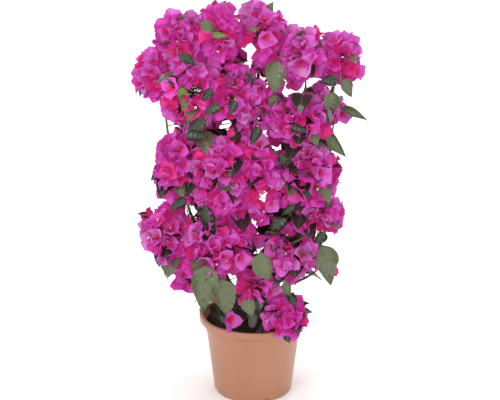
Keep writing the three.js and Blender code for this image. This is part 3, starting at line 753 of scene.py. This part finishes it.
def blade(rows, columns, outline, width, crowding, foot_angle, tip_angle, cup, crinkle, seed, veins=0):
    """One blade of length 1 that springs from the origin and leans from the Z axis towards +X.
    Each pair of veins dents it from the rib out to the edge."""
    shape = bmesh.new()
    bmesh.ops.create_grid(shape, x_segments=rows, y_segments=columns, size=0.5)
    shares, halves = zip(*outline)
    outs, ups = zip(*spine_of(foot_angle, tip_angle)[0])
    for face in shape.faces:
        along = 1 - (0.5 - face.calc_center_median().x) ** crowding
        # Faces near the foot are marked for the darker hot pink that paints the shade in the flower.
        face.material_index = 1 if along < SHADED_THROAT_SHARE else 0
    for corner in shape.verts:
        along, across = 1 - max(0.0, 0.5 - corner.co.x) ** crowding, 2 * corner.co.y
        half = width / 2 * np.interp(along, shares, halves)
        angle = math.radians(foot_angle + (tip_angle - foot_angle) * along)
        out = np.interp(along * SPINE_STEPS, range(SPINE_STEPS + 1), outs)
        rise = np.interp(along * SPINE_STEPS, range(SPINE_STEPS + 1), ups)
        lift = cup * abs(across) ** CUP_CURVE * half
        wave = math.sin(CRINKLES * along + CRINKLE_SHIFTS[0] * seed + CRINKLE_SHIFTS[1] * np.sign(across))
        lift += crinkle * half * across ** 2 * wave
        lift += RIB_FOLD * math.cos(2 * math.pi * across) * math.sin(math.pi * along)
        groove = math.sin(2 * math.pi * veins * (along - VEIN_SLANT * abs(across)))
        lift -= VEIN_DEPTH * groove * abs(across) * (1 - abs(across) ** VEIN_FADE)
        side = across * half * (1 - EDGE_PULL * abs(cup * across))
        corner.co = (out - lift * math.cos(angle), side, rise + lift * math.sin(angle))
    bmesh.ops.remove_doubles(shape, verts=shape.verts, dist=BLADE_MERGE)
    return shape


def floret_patterns(form, length, seed):
    """Three bracts round the Z axis, no two quite alike: their blades, and their throats in painted shade."""
    floret = bmesh.new()
    foot_angle, tip_angle, cup, crinkle = form
    for k in range(BRACTS):
        lean, growth, turn, twist = (spread * math.sin(by_bract * k + by_flower * seed)
                                     for spread, by_bract, by_flower in BRACT_SPREADS)
        shape = blade(BRACT_ROWS, BRACT_COLUMNS, BRACT_OUTLINE, BRACT_WIDTH, BRACT_CROWDING,
                      foot_angle + lean, tip_angle + TIP_SPREAD * lean, cup, crinkle, seed + k)
        set_round = Matrix.Rotation(2 * math.pi / BRACTS * k + turn, 4, "Z")
        shape.transform(set_round @ Matrix.Rotation(twist, 4, "X") @ Matrix.Scale(length * (1 + growth), 4))
        mesh = as_mesh("blade", shape)
        floret.from_mesh(mesh)
        bpy.data.meshes.remove(mesh)
    shaded_throat = floret.copy()
    for shape, kept in ((floret, 0), (shaded_throat, 1)):
        dropped = [face for face in shape.faces if face.material_index != kept]
        bmesh.ops.delete(shape, geom=dropped, context="FACES")
    return pattern_of(floret), pattern_of(shaded_throat)


def tubes_pattern():
    shape = bmesh.new()
    for bearing in TUBE_BEARINGS:
        lean = Matrix.Rotation(math.radians(bearing), 4, "Z") @ Matrix.Rotation(TUBE_LEAN, 4, "Y")
        place = Matrix.Translation((0, 0, TUBE_MIDDLE * TUBE_LENGTH))
        bmesh.ops.create_cone(shape, cap_ends=True, segments=TUBE_SIDES, radius1=TUBE_RADII[0],
                              radius2=TUBE_RADII[1], depth=TUBE_LENGTH, matrix=lean @ place)
    return pattern_of(shape)


def star_pattern():
    shape = bmesh.new()
    top = Matrix.Translation((0, 0, STAR_HEIGHT * TUBE_LENGTH))
    lean = Matrix.Rotation(TUBE_LEAN, 4, "Y")
    tips = bmesh.ops.create_circle(shape, cap_ends=True, segments=2 * STAR_POINTS,
                                   radius=STAR_RADII[0])["verts"]
    for corner in tips[::2]:
        corner.co *= STAR_RADII[1] / STAR_RADII[0]
    shape.transform(lean @ top)
    return pattern_of(shape)


florets = [floret_patterns(form, BRACT_LENGTH, FLOWER_SEED_STEP * k) for k, form in enumerate(BRACT_FORMS)]
bud = floret_patterns(BUD_FORM, BUD_SIZE * BRACT_LENGTH, BUD_SEED)
tubes = tubes_pattern()
star = star_pattern()


# ---------------------------------------------------------------- leaves
# Leaves with a drawn-out tip, folded a little along the pale rib, arched downwards and held on a
# short stalk. The small ones are oval, and the large ones are heart-shaped and dented by veins.
LEAF_ROWS = 8
LEAF_COLUMNS = 4
LEAF_WIDTH = 0.64
LEAF_CROWDING = 1.0
LEAF_SEED_STEP = 0.9
LEAF_OUTLINE = [(0, 0.02), (0.015, 0.06), (0.15, 0.08), (0.22, 0.66), (0.36, 0.97), (0.5, 1.0),
                (0.68, 0.84), (0.84, 0.48), (0.94, 0.18), (1, 0.0)]
LEAF_FORMS = [(66, 108, 0.34, 0.07), (72, 118, 0.26, 0.10), (80, 100, 0.40, 0.06), (64, 124, 0.18, 0.12)]
LARGE_ROWS = 26
LARGE_COLUMNS = 8
LARGE_VEINS = 6
LARGE_SEED_STEP = 1.7
LARGE_OUTLINE = [(0, 0.02), (0.02, 0.05), (0.14, 0.06), (0.16, 0.45), (0.22, 0.84), (0.32, 1.0), (0.46, 0.95),
                 (0.62, 0.74), (0.76, 0.48), (0.88, 0.22), (0.95, 0.08), (1, 0.0)]
LARGE_FORMS = [(78, 104, 0.36, 0.18), (84, 112, 0.44, 0.24), (72, 116, 0.50, 0.18), (88, 120, 0.34, 0.22),
               (66, 104, 0.46, 0.26)]
RIB_WIDTH = 0.012  # share of the leaf's length, as is its lift
RIB_LIFT = 0.018
RIB_ROUNDNESS = 0
# step along the spine, share of the rib's width there
RIB_STOPS = [(5, 1), (12, 0.9), (19, 0.75), (26, 0.6), (32, 0.45), (37, 0.25)]


def rib_pattern(foot_angle, tip_angle):
    """The rib as a thin rod that lies on the blade's upper face."""
    points, angles = spine_of(foot_angle, tip_angle)
    line = []
    for step, _ in RIB_STOPS:
        out, up = points[step + 1]
        angle = angles[step]
        line.append((out - RIB_LIFT * math.cos(angle), 0, up + RIB_LIFT * math.sin(angle)))
    return pattern_of(rods("rib", [(line, [RIB_WIDTH * share for _, share in RIB_STOPS])], RIB_ROUNDNESS))


def leaf_patterns(rows, columns, outline, forms, seed_step, veins=0):
    """A blade and its rib for each form."""
    patterns = []
    for k, form in enumerate(forms):
        shape = blade(rows, columns, outline, LEAF_WIDTH, LEAF_CROWDING, *form, seed_step * k, veins)
        patterns.append((pattern_of(shape), rib_pattern(*form[:2])))
    return patterns


leaves = leaf_patterns(LEAF_ROWS, LEAF_COLUMNS, LEAF_OUTLINE, LEAF_FORMS, LEAF_SEED_STEP)
large_leaves = leaf_patterns(LARGE_ROWS, LARGE_COLUMNS, LARGE_OUTLINE, LARGE_FORMS, LARGE_SEED_STEP,
                             LARGE_VEINS)


# ---------------------------------------------------------------- growth of the masses
# A mass's own stem carries on from its bough through its heart. Twigs leave it towards points
# set over the mass in a golden-angle spiral, and each forks into three that bear flowers or leaves.
SHOOT_RADIUS = 0.0019
SHOOT_TIP = 0.0013
SHOOT_PAST = 0.22
SHOOT_THICKEST = 1.02  # beside its bough's tip
SHOOT_HEADING = 0.97  # where along its bough's curve it takes its heading
SHOOT_STEPS = 7
SPRAY_SEED = (97, 131)  # of the first mass, and how far apart the masses' seeds lie
FINE_SEED = (4099, 257)
GOLDEN_TURN = math.pi * (3 - math.sqrt(5))
TWIG_RADII = (0.0011, 0.0008)
TWIG_SAG = 0.12
TWIG_STEPS = 5
STALK_RADII = (0.0006, 0.00045)
STALK_BOW = 0.002
STALK_STEPS = 3
SPRAY_SPACING = 0.027
LEAFY_SPACING = 0.046
MOSTLY_LEAFY = 0.5
SPRAY_JITTER = 0.5
SPRAY_DEPTH = 0.031
LEAF_DEPTH = 0.044
UP_PULL = 0.3
HEART_CLEAR = 0.004
ABOVE_COST = 0.8  # what a root above its spray costs, beside one further off
ABOVE_FROM = 0.010
FORKS = 3
FORK_DROP = 0.006
FORK_LEAN = 0.85
FORK_LEAN_SPREAD = (0.7, 1.25)
FORK_REACH = 0.011
FORK_REACH_SPREAD = (0.7, 1.2)
FORK_RISE_SPREAD = (-0.004, 0.004)
FLOWER_SPREAD = (0.9, 1.08)
FLOWER_SIZES = (0.80, 1.06)
FLOWER_ROOM = 0.0112
FLOWER_OFF_WOOD = 0.002
FLOWER_HEART = 0.4  # share of a bract's length from the flower's foot to its heart
OUTLINE = 1.03
SEAM = -0.006  # tips may pass the wall to a neighbour by so much, so that no seam shows
PULLS = (1.0, 0.88, 0.74, 0.58, 0.42)
LEAF_LENGTHS = (0.046, 0.064)
LEAF_RUN = (0.2, 0.35)  # how far a leaf's direction turns to its spray's, and to the ground
LEAF_SHARE = 0.34
LEAF_DROP = 0.008
SINGLE_RUN = (0.5, 0.3)
LEAFY_OLIVE = 0.55
# Share of single leaves given the dark tone, which is painted shade.
SINGLE_SHADED = 0.6
FACE_SPREAD = 0.25
BUD_SHARE = 0.16
# running share of the flowers in each tone
TONE_SHARES = [("pale", 0.16), ("mauve", 0.54), ("magenta", 0.86), ("deep", 1.0)]
CRIMSON_SHARE = 0.07
STAR_SHARE = 0.2
LIP_CLEAR = 0.003
NEAR_UPRIGHT = 0.95
# Gaps in the crown that the sky shows through: where the line of sight from the camera crosses
# the upright plane through the trunk, across and up, and half the gap's width and height there.
SKY_GAPS = [
    (-0.005, 0.625, 0.010, 0.013),
    (0.065, 0.565, 0.014, 0.010),
    (0.042, 0.458, 0.012, 0.008),
    (0.150, 0.485, 0.010, 0.018),
    (-0.150, 0.490, 0.010, 0.015),
    (-0.105, 0.335, 0.008, 0.012),
    (0.125, 0.285, 0.014, 0.012),
    (0.145, 0.565, 0.008, 0.015),
    (0.095, 0.205, 0.012, 0.009),
    (-0.040, 0.208, 0.012, 0.006),
    (-0.190, 0.235, 0.020, 0.025),
    (0.165, 0.420, 0.008, 0.020),
    (-0.095, 0.560, 0.012, 0.007),
    (-0.040, 0.545, 0.008, 0.009),
    (-0.045, 0.495, 0.012, 0.007),
    (0.020, 0.365, 0.007, 0.010),
]


def tree_of(points):
    """A tree that finds the nearest of some points."""
    tree = kdtree.KDTree(len(points))
    for number, point in enumerate(points):
        tree.insert(point, number)
    tree.balance()
    return tree


beads = []
for limb in limbs.values():
    for k in range(CUT_STEPS + 1):
        t = limb.end * k / CUT_STEPS
        beads.append((limb.point(t), limb.radius(t)))
bead_tree = tree_of([place for place, _ in beads])


def clear_of_wood(point, room):
    place, number, distance = bead_tree.find(point)
    return distance > beads[number][1] + room


def clear_of_pot(point):
    radius = math.hypot(point[0], point[1])
    if radius > POT_RIM + LIP_CLEAR:
        return True
    if radius > POT_MOUTH - LIP_CLEAR:
        return point[2] > POT_TOP + LIP_CLEAR
    return point[2] > COMPOST_TOP + LIP_CLEAR


def clear_of_sky(points):
    offsets = points - CAMERA_PLACE
    seen = CAMERA_PLACE + offsets * (-CAMERA_PLACE[1] / offsets[:, 1:2])
    return all(np.all(((seen[:, 0] - across) / half_width) ** 2 + ((seen[:, 2] - up) / half_height) ** 2 > 1)
               for across, up, half_width, half_height in SKY_GAPS)


def frame_on(axis, roll_angle):
    """Three unit vectors as columns: two across the axis, turned by an angle, and the axis."""
    side = np.array((1.0, 0, 0)) if abs(axis[2]) > NEAR_UPRIGHT else UP
    side = unit(side - axis * (side @ axis))
    across = np.cross(axis, side)
    first = side * math.cos(roll_angle) + across * math.sin(roll_angle)
    return np.column_stack((first, np.cross(axis, first), axis))


def leaf_frame(axis, normal, width=1):
    """Three vectors as columns for a leaf along axis that faces normal: along, across and out."""
    side = unit(np.cross(normal, axis))
    return np.column_stack((axis, side * width, np.cross(axis, side)))


def placement(turn, point, size):
    matrix = np.eye(4)
    matrix[:3, :3] = turn * size
    matrix[:3, 3] = point
    return matrix


def reach_points(pattern, matrix):
    return pattern[0][::3] @ matrix[:3, :3].T + matrix[:3, 3]


def fits(own, points, outline, margin):
    """True if the points lie in the mass's reach and clear of the pot and of the sky gaps."""
    if fullness_of(own, points).max() > outline or not all(clear_of_pot(point) for point in points):
        return False
    if not clear_of_sky(points):
        return False
    return bool(np.all(own.walls @ points.T < (own.offsets - margin)[:, None]))


def bent(start, middle, end, radii, steps):
    """The points and radii of a tapered rod that leaves start towards middle and arrives at end."""
    shares = np.linspace(0, 1, steps + 1)[:, None]
    line = (1 - shares) ** 2 * start + 2 * shares * (1 - shares) * middle + shares ** 2 * end
    return line, np.linspace(radii[0], radii[1], steps + 1)


shoots, twigs, stalks = [], [], []
bract_copies = {"pale": [], "mauve": [], "magenta": [], "deep": [], "crimson": [], "shaded_throat": []}
leaf_copies = {"olive": [], "dark": [], "fresh": []}
rib_copies, tube_copies, star_copies = [], [], []
flower_hearts = []


def shoot_of(own):
    """The mass's own stem: from its bough's tip, or the trunk, to its heart and past it."""
    line = [own.limb.point(t) for t in np.linspace(own.limb.end, 1, SHOOT_STEPS)]
    heading = unit(own.center - own.limb.point(SHOOT_HEADING))
    past = SHOOT_PAST * np.linalg.norm(heading * own.radii)
    line += [line[-1] + heading * past * share for share in (0.5, 1)]
    radius = min(SHOOT_RADIUS, own.limb.radii[1] * SHOOT_THICKEST)
    shoots.append((line, np.linspace(radius, SHOOT_TIP, len(line))))
    return np.array(line)


def leave_from(line, middle):
    """The point of a mass's stem that a twig to middle leaves from: near, and below it."""
    return min(line, key=lambda place: np.linalg.norm(middle - place) + ABOVE_COST * max(
        0, place[2] - middle[2] + ABOVE_FROM))


def add_leaf(leaf, matrix, tone):
    blade_pattern, rib = leaf
    leaf_copies[tone].append((blade_pattern, matrix))
    rib_copies.append((rib, matrix))


def hang_leaf(own, base, direction, roll, length, tone):
    """A leaf that runs out along direction with its upper face to the sky, where it fits."""
    axis = unit(direction)
    leaf = leaves[int(roll(0, len(leaves)))]
    normal = unit(UP - axis * (UP @ axis) + FACE_SPREAD * np.array((roll(-1, 1), roll(-1, 1), 0)))
    matrix = placement(leaf_frame(axis, normal), base, length)
    if not fits(own, reach_points(leaf[0], matrix), OUTLINE, SEAM):
        return False
    add_leaf(leaf, matrix, tone)
    return True


def add_floret(own, base, axis, fine, size, tone):
    """A flower where it fits its mass, if it has one, clear of the wood and of other flowers."""
    form = int(fine(0, len(florets)))
    is_bud = fine() < BUD_SHARE
    blades, shaded_throat = bud if is_bud else florets[form]
    matrix = placement(frame_on(axis, fine(0, 2 * math.pi)), base, size)
    heart = base + axis * FLOWER_HEART * BRACT_LENGTH * size
    if not clear_of_wood(base, FLOWER_OFF_WOOD):
        return False
    if flower_hearts and np.min(np.linalg.norm(np.array(flower_hearts) - heart, axis=1)) < FLOWER_ROOM:
        return False
    if own and not fits(own, reach_points(blades, matrix), OUTLINE, SEAM):
        return False
    flower_hearts.append(heart)
    bract_copies["crimson" if is_bud or fine() < CRIMSON_SHARE else tone].append((blades, matrix))
    # The throat piece is painted shade, a darker hot pink at the foot of every bract.
    bract_copies["shaded_throat"].append((shaded_throat, matrix))
    if not is_bud:
        tube_copies.append((tubes, matrix))
        if fine() < STAR_SHARE:
            star_copies.append((star, matrix))
    return True


def grow(own, index):
    """The mass's sprays: roll decides what its solid shows too, and fine the rest."""
    roll = dice(SPRAY_SEED[0] + SPRAY_SEED[1] * index)
    fine = dice(FINE_SEED[0] + FINE_SEED[1] * index)
    line = shoot_of(own)
    mean_reach = np.prod(own.radii) ** (1 / 3)
    spacing = LEAFY_SPACING if own.leafy > MOSTLY_LEAFY else SPRAY_SPACING
    count = round(4 * math.pi * mean_reach ** 2 / spacing ** 2)
    spin = roll(0, 2 * math.pi)
    for i in range(count):
        height = 1 - 2 * (i + 0.5) / count
        bearing = spin + i * GOLDEN_TURN + SPRAY_JITTER * (roll() - 0.5)
        flat = math.sqrt(1 - height * height)
        direction = np.array((flat * math.cos(bearing), flat * math.sin(bearing), height))
        axis = unit(direction + UP_PULL * UP)
        leafy = roll() < own.leafy
        size = roll(*FLOWER_SIZES)
        turn = roll(0, 2 * math.pi)
        reach = 1 / np.sum(np.abs(direction / own.radii) ** FULLNESS) ** (1 / FULLNESS)
        drawn = fine()
        tone = next(name for name, share in TONE_SHARES if drawn < share)
        depth = LEAF_DEPTH if leafy else SPRAY_DEPTH
        for pull in PULLS:
            middle = own.center + direction * max(reach * pull - depth, HEART_CLEAR)
            fork = middle - axis * FORK_DROP
            ends = []
            for k in range(FORKS):
                across = frame_on(axis, turn + k * 2 * math.pi / FORKS)[:, 0]
                lean = FORK_LEAN * fine(*FORK_LEAN_SPREAD)
                aside = across * FORK_REACH * fine(*FORK_REACH_SPREAD)
                base = middle + aside + axis * fine(*FORK_RISE_SPREAD)
                end_axis = unit(axis + lean * across)
                if leafy:
                    # Leaves in the dark tone are painted shade.
                    placed = hang_leaf(own, base, end_axis + LEAF_RUN[0] * direction - LEAF_RUN[1] * UP, fine,
                                       fine(*LEAF_LENGTHS), "olive" if fine() < LEAFY_OLIVE else "dark")
                else:
                    placed = add_floret(own, base, end_axis, fine, size * fine(*FLOWER_SPREAD), tone)
                if placed:
                    ends.append(base)
            if not ends:
                continue
            start = leave_from(line, middle)
            knee = start + (middle - start) * 0.5 - UP * TWIG_SAG * np.linalg.norm(middle - start)
            twigs.append(bent(start, knee, fork, TWIG_RADII, TWIG_STEPS))
            for base in ends:
                bow = (fork + base) / 2 + axis * STALK_BOW
                stalks.append(bent(fork, bow, base, STALK_RADII, STALK_STEPS))
            if not leafy and fine() < LEAF_SHARE:
                swing = frame_on(axis, fine(0, 2 * math.pi))[:, 0]
                run = direction * SINGLE_RUN[0] + swing - SINGLE_RUN[1] * UP
                hang_leaf(own, fork - axis * LEAF_DROP, run, fine, fine(*LEAF_LENGTHS),
                          "dark" if fine() < SINGLE_SHADED else "olive")
            break


for index, own in enumerate(MASSES):
    grow(own, index)


# ---------------------------------------------------------------- leaves on the stems
# Each main stem and bough carries single leaves on short stalks, set round it in a spiral, and
# they fill the middle of the bush and the gaps between the masses.
STEM_LEAVES_FROM = 0.24  # share of the way along a stem
STEM_LEAF_STEP = 0.011
STEM_LEAF_JITTER = (-0.4, 0.4)
STEM_LEAF_RISE = 0.3
STEM_LEAF_STALK = (0.012, 0.026)
STEM_LEAF_SPREAD = 0.135  # how far to either side of the trunk they may reach
STEM_LEAF_SEED = (811, 37)
STEM_LEAF_DROOP = (0.5, 0.9)
STEM_LEAF_OLIVE = 0.45
LEAF_STALK_RADII = (0.0009, 0.0007)
LEAF_STALK_BOW = 0.003
LEAF_STALK_STEPS = 4

for index, name in enumerate(name for name in limbs if name != "trunk"):
    limb = limbs[name]
    fine = dice(STEM_LEAF_SEED[0] + STEM_LEAF_SEED[1] * index)
    reach = np.linalg.norm(limb.point(limb.end) - limb.point(STEM_LEAVES_FROM))
    for k in range(round(reach / STEM_LEAF_STEP)):
        t = STEM_LEAVES_FROM + (limb.end - STEM_LEAVES_FROM) * k * STEM_LEAF_STEP / reach
        bearing = k * GOLDEN_TURN + fine(*STEM_LEAF_JITTER)
        out = np.array((math.cos(bearing), math.sin(bearing), STEM_LEAF_RISE))
        start = limb.point(t)
        base = start + out * fine(*STEM_LEAF_STALK)
        axis = unit(out - fine(*STEM_LEAF_DROOP) * UP)
        matrix = placement(leaf_frame(axis, UP), base, fine(*LEAF_LENGTHS))
        leaf = leaves[int(fine(0, len(leaves)))]
        points = reach_points(leaf[0], matrix)
        if np.abs(points[:, 0]).max() < STEM_LEAF_SPREAD and clear_of_sky(points):
            # The dark tone is painted shade.
            add_leaf(leaf, matrix, "olive" if fine() < STEM_LEAF_OLIVE else "dark")
            bow = (start + base) / 2 + LEAF_STALK_BOW * UP
            stalks.append(bent(start, bow, base, LEAF_STALK_RADII, LEAF_STALK_STEPS))


# ---------------------------------------------------------------- hanging leaves and flowers
# Between the masses single large leaves and small clusters of flowers hang on stalks of their
# own, each grown from the nearest twig.

# foot of the blade, its lean in degrees from straight down to the right, its length, width and tone
# The dark leaves are painted shade, dark sheets put where the crown lies in shadow.
HANGING_LEAVES = [
    ((-0.080, -0.097, 0.275), -5, 0.085, 0.050, "olive"),
    ((-0.055, -0.100, 0.250), 10, 0.070, 0.048, "olive"),
    ((0.015, -0.100, 0.300), 12, 0.055, 0.042, "olive"),
    ((0.115, -0.070, 0.300), 20, 0.085, 0.044, "olive"),
    ((0.040, -0.055, 0.625), -5, 0.055, 0.040, "olive"),
    ((0.030, -0.055, 0.565), 35, 0.035, 0.022, "olive"),
    ((0.140, -0.045, 0.590), -90, 0.032, 0.023, "dark"),
    ((0.135, -0.050, 0.570), -5, 0.040, 0.032, "olive"),
    ((0.150, -0.040, 0.590), 30, 0.038, 0.023, "olive"),
    ((0.150, -0.030, 0.535), 65, 0.050, 0.016, "olive"),
    ((0.115, -0.050, 0.505), 42, 0.065, 0.028, "olive"),
    ((-0.120, -0.085, 0.590), 10, 0.045, 0.020, "fresh"),
    ((-0.080, -0.085, 0.380), 15, 0.055, 0.030, "dark"),
    ((0.055, -0.080, 0.355), -50, 0.050, 0.025, "dark"),
    ((-0.115, -0.080, 0.390), -60, 0.032, 0.022, "dark"),
    ((-0.110, -0.090, 0.510), 85, 0.036, 0.022, "dark"),
    ((-0.080, -0.090, 0.535), -60, 0.036, 0.025, "dark"),
    ((0.010, -0.080, 0.520), -25, 0.035, 0.020, "dark"),
    ((-0.085, -0.065, 0.695), 65, 0.032, 0.021, "olive"),
    ((-0.065, -0.068, 0.675), 90, 0.026, 0.012, "fresh"),
    ((-0.010, -0.098, 0.215), 15, 0.036, 0.027, "olive"),
    ((0.055, -0.104, 0.250), 8, 0.040, 0.018, "olive"),
    ((0.070, -0.070, 0.375), -55, 0.030, 0.018, "dark"),
    ((0.005, -0.094, 0.185), -20, 0.034, 0.022, "dark"),
    ((0.060, -0.100, 0.225), 25, 0.030, 0.018, "dark"),
    ((0.055, -0.104, 0.150), 30, 0.018, 0.012, "dark"),
    ((-0.070, -0.085, 0.350), -15, 0.045, 0.026, "dark"),
    ((0.120, -0.075, 0.330), -30, 0.035, 0.022, "dark"),
    ((0.045, -0.075, 0.470), 40, 0.036, 0.022, "dark"),
    ((0.065, -0.085, 0.520), 75, 0.030, 0.018, "dark"),
    ((-0.120, -0.065, 0.640), 60, 0.030, 0.020, "dark"),
    ((-0.140, -0.070, 0.600), 80, 0.028, 0.018, "dark"),
    ((-0.070, -0.090, 0.590), -35, 0.026, 0.018, "dark"),
    ((-0.055, -0.092, 0.560), -70, 0.030, 0.020, "dark"),
    ((-0.030, -0.094, 0.570), -20, 0.026, 0.018, "dark"),
    ((-0.010, -0.070, 0.610), 15, 0.026, 0.018, "dark"),
]
LEAF_FACING = np.array((0.0, -1.0, 0.5))
LEAF_FORWARD = -0.07
LEAF_SWAY = 0.35
LEAF_SWAY_STEP = 2.4
BLADE_SHARE = 0.84  # of a leaf's length is blade, and the rest is stalk
STALK_ARCH = 0.15
HANGING_STALK_STEPS = 5
# heart of the cluster, how many flowers it has
HANGING_FLOWERS = [
    ((-0.120, -0.065, 0.235), 3),
    ((-0.035, -0.080, 0.165), 1),
    ((0.165, -0.010, 0.590), 2),
    ((0.155, -0.030, 0.530), 1),
    ((0.020, -0.050, 0.575), 2),
    ((0.020, -0.050, 0.550), 2),
    ((0.010, -0.060, 0.515), 1),
    ((0.055, -0.030, 0.580), 2),
    ((-0.015, -0.065, 0.365), 3),
    ((0.005, -0.065, 0.340), 2),
    ((0, -0.065, 0.320), 2),
    ((-0.180, -0.015, 0.610), 1),
]
CLUSTER_REACH = 0.012
CLUSTER_SETBACK = 0.5  # share of a bract's length that a flower's foot lies behind the heart
CLUSTER_FACING = np.array((0.0, -1.0, 0.2))
CLUSTER_SEED = 71
CLUSTER_LEAN = 0.8
CLUSTER_MAUVE = 0.5

wood_tree = tree_of([point for line, _ in shoots + twigs for point in line])


def hang_from_wood(base):
    """A stalk that arches from the nearest twig to a place."""
    rooted, _, distance = wood_tree.find(base)
    rooted = np.array(rooted)
    bow = (rooted + base) / 2 + STALK_ARCH * distance * UP
    stalks.append(bent(rooted, bow, base, LEAF_STALK_RADII, HANGING_STALK_STEPS))


for number, (foot, lean, length, width, tone) in enumerate(HANGING_LEAVES):
    axis = unit(np.array((math.sin(math.radians(lean)), LEAF_FORWARD, -math.cos(math.radians(lean)))))
    size = length / BLADE_SHARE
    sway = np.array((LEAF_SWAY * math.sin(LEAF_SWAY_STEP * number), 0.0, 0.0))
    turn = leaf_frame(axis, LEAF_FACING + sway, width / (LEAF_WIDTH * size))
    base = np.array(foot) - axis * (size - length)
    add_leaf(large_leaves[number % len(large_leaves)], placement(turn, base, size), tone)
    hang_from_wood(base)
fine = dice(CLUSTER_SEED)
for heart, count in HANGING_FLOWERS:
    spin = fine(0, 2 * math.pi)
    for k in range(count):
        bearing = spin + 2 * math.pi * k / count
        offset = np.array((math.cos(bearing), 0, math.sin(bearing)))
        axis = unit(CLUSTER_FACING + CLUSTER_LEAN * offset)
        base = np.array(heart) + offset * CLUSTER_REACH * (count > 1) - axis * CLUSTER_SETBACK * BRACT_LENGTH
        size = fine(*FLOWER_SIZES)
        if add_floret(None, base, axis, fine, size, "mauve" if fine() < CLUSTER_MAUVE else "magenta"):
            hang_from_wood(base)


# ---------------------------------------------------------------- what has grown
# Twigs, stalks, bracts, flowers and leaves, each kind and each tone of bract and leaf joined into
# one piece. The bracts emit a faint magenta light, a painted glow for light coming through them.
TWIG_ROUNDNESS = 1
STALK_ROUNDNESS = 0
STALK_TONE = (126, 112, 74)
TUBE_TONE = (214, 60, 96)
STAR_TONE = (250, 238, 206)
RIB_TONE = (108, 118, 84)
# The throat tone is painted shade: a darker hot pink for the foot of each bract, deep in the flower.
BRACT_TONES = {"pale": (176, 106, 172), "mauve": (185, 84, 175), "magenta": (194, 62, 170),
               "deep": (184, 44, 150), "crimson": (198, 26, 102), "shaded_throat": (204, 26, 92)}
# Painted glow: the bracts emit this faint magenta light, which stands in for light coming through them.
PAINTED_GLOW = (0.30, 0.02, 0.16, 1)
PAINTED_GLOW_STRENGTH = 0.45
BRACT_ROUGHNESS = 0.6
# The dark leaf tone is painted shade: a shaded copy of the olive green.
LEAF_TONES = {"olive": (98, 106, 73), "dark": (44, 50, 36), "fresh": (112, 134, 62)}
LEAF_ROUGHNESS = 0.21

young_bark = patterned_finish("young_bark", dark=(90, 70, 48), light=(128, 108, 80), roughness=0.75,
                              scale=160.0, stretch=(1, 1, 0.4), relief=0.3, relief_scale=900.0,
                              depth=0.0003)
piece("twigs", rods("twigs", shoots + twigs, TWIG_ROUNDNESS), young_bark)
piece("flower_stalks", rods("stalks", stalks, STALK_ROUNDNESS),
      plain_finish("flower_stalk", STALK_TONE, roughness=0.65))
# Each bract finish emits the painted glow.
for tone, copies in bract_copies.items():
    finish = plain_finish("bract_" + tone, BRACT_TONES[tone], BRACT_ROUGHNESS, Emission_Color=PAINTED_GLOW,
                          Emission_Strength=PAINTED_GLOW_STRENGTH)
    piece("bracts_" + tone, array_of(tone, copies), finish)
piece("flower_tubes", array_of("tubes", tube_copies),
      plain_finish("tube_pink", TUBE_TONE, roughness=0.5))
piece("flower_stars", array_of("stars", star_copies),
      plain_finish("star_cream", STAR_TONE, roughness=0.5), smooth=False)
for tone, copies in leaf_copies.items():
    finish = plain_finish("leaf_" + tone, LEAF_TONES[tone], LEAF_ROUGHNESS)
    piece("leaves_" + tone, array_of(tone, copies), finish)
piece("leaf_ribs", array_of("ribs", rib_copies),
      plain_finish("rib_green", RIB_TONE, roughness=0.5))
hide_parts(*[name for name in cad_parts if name.startswith("spray")])
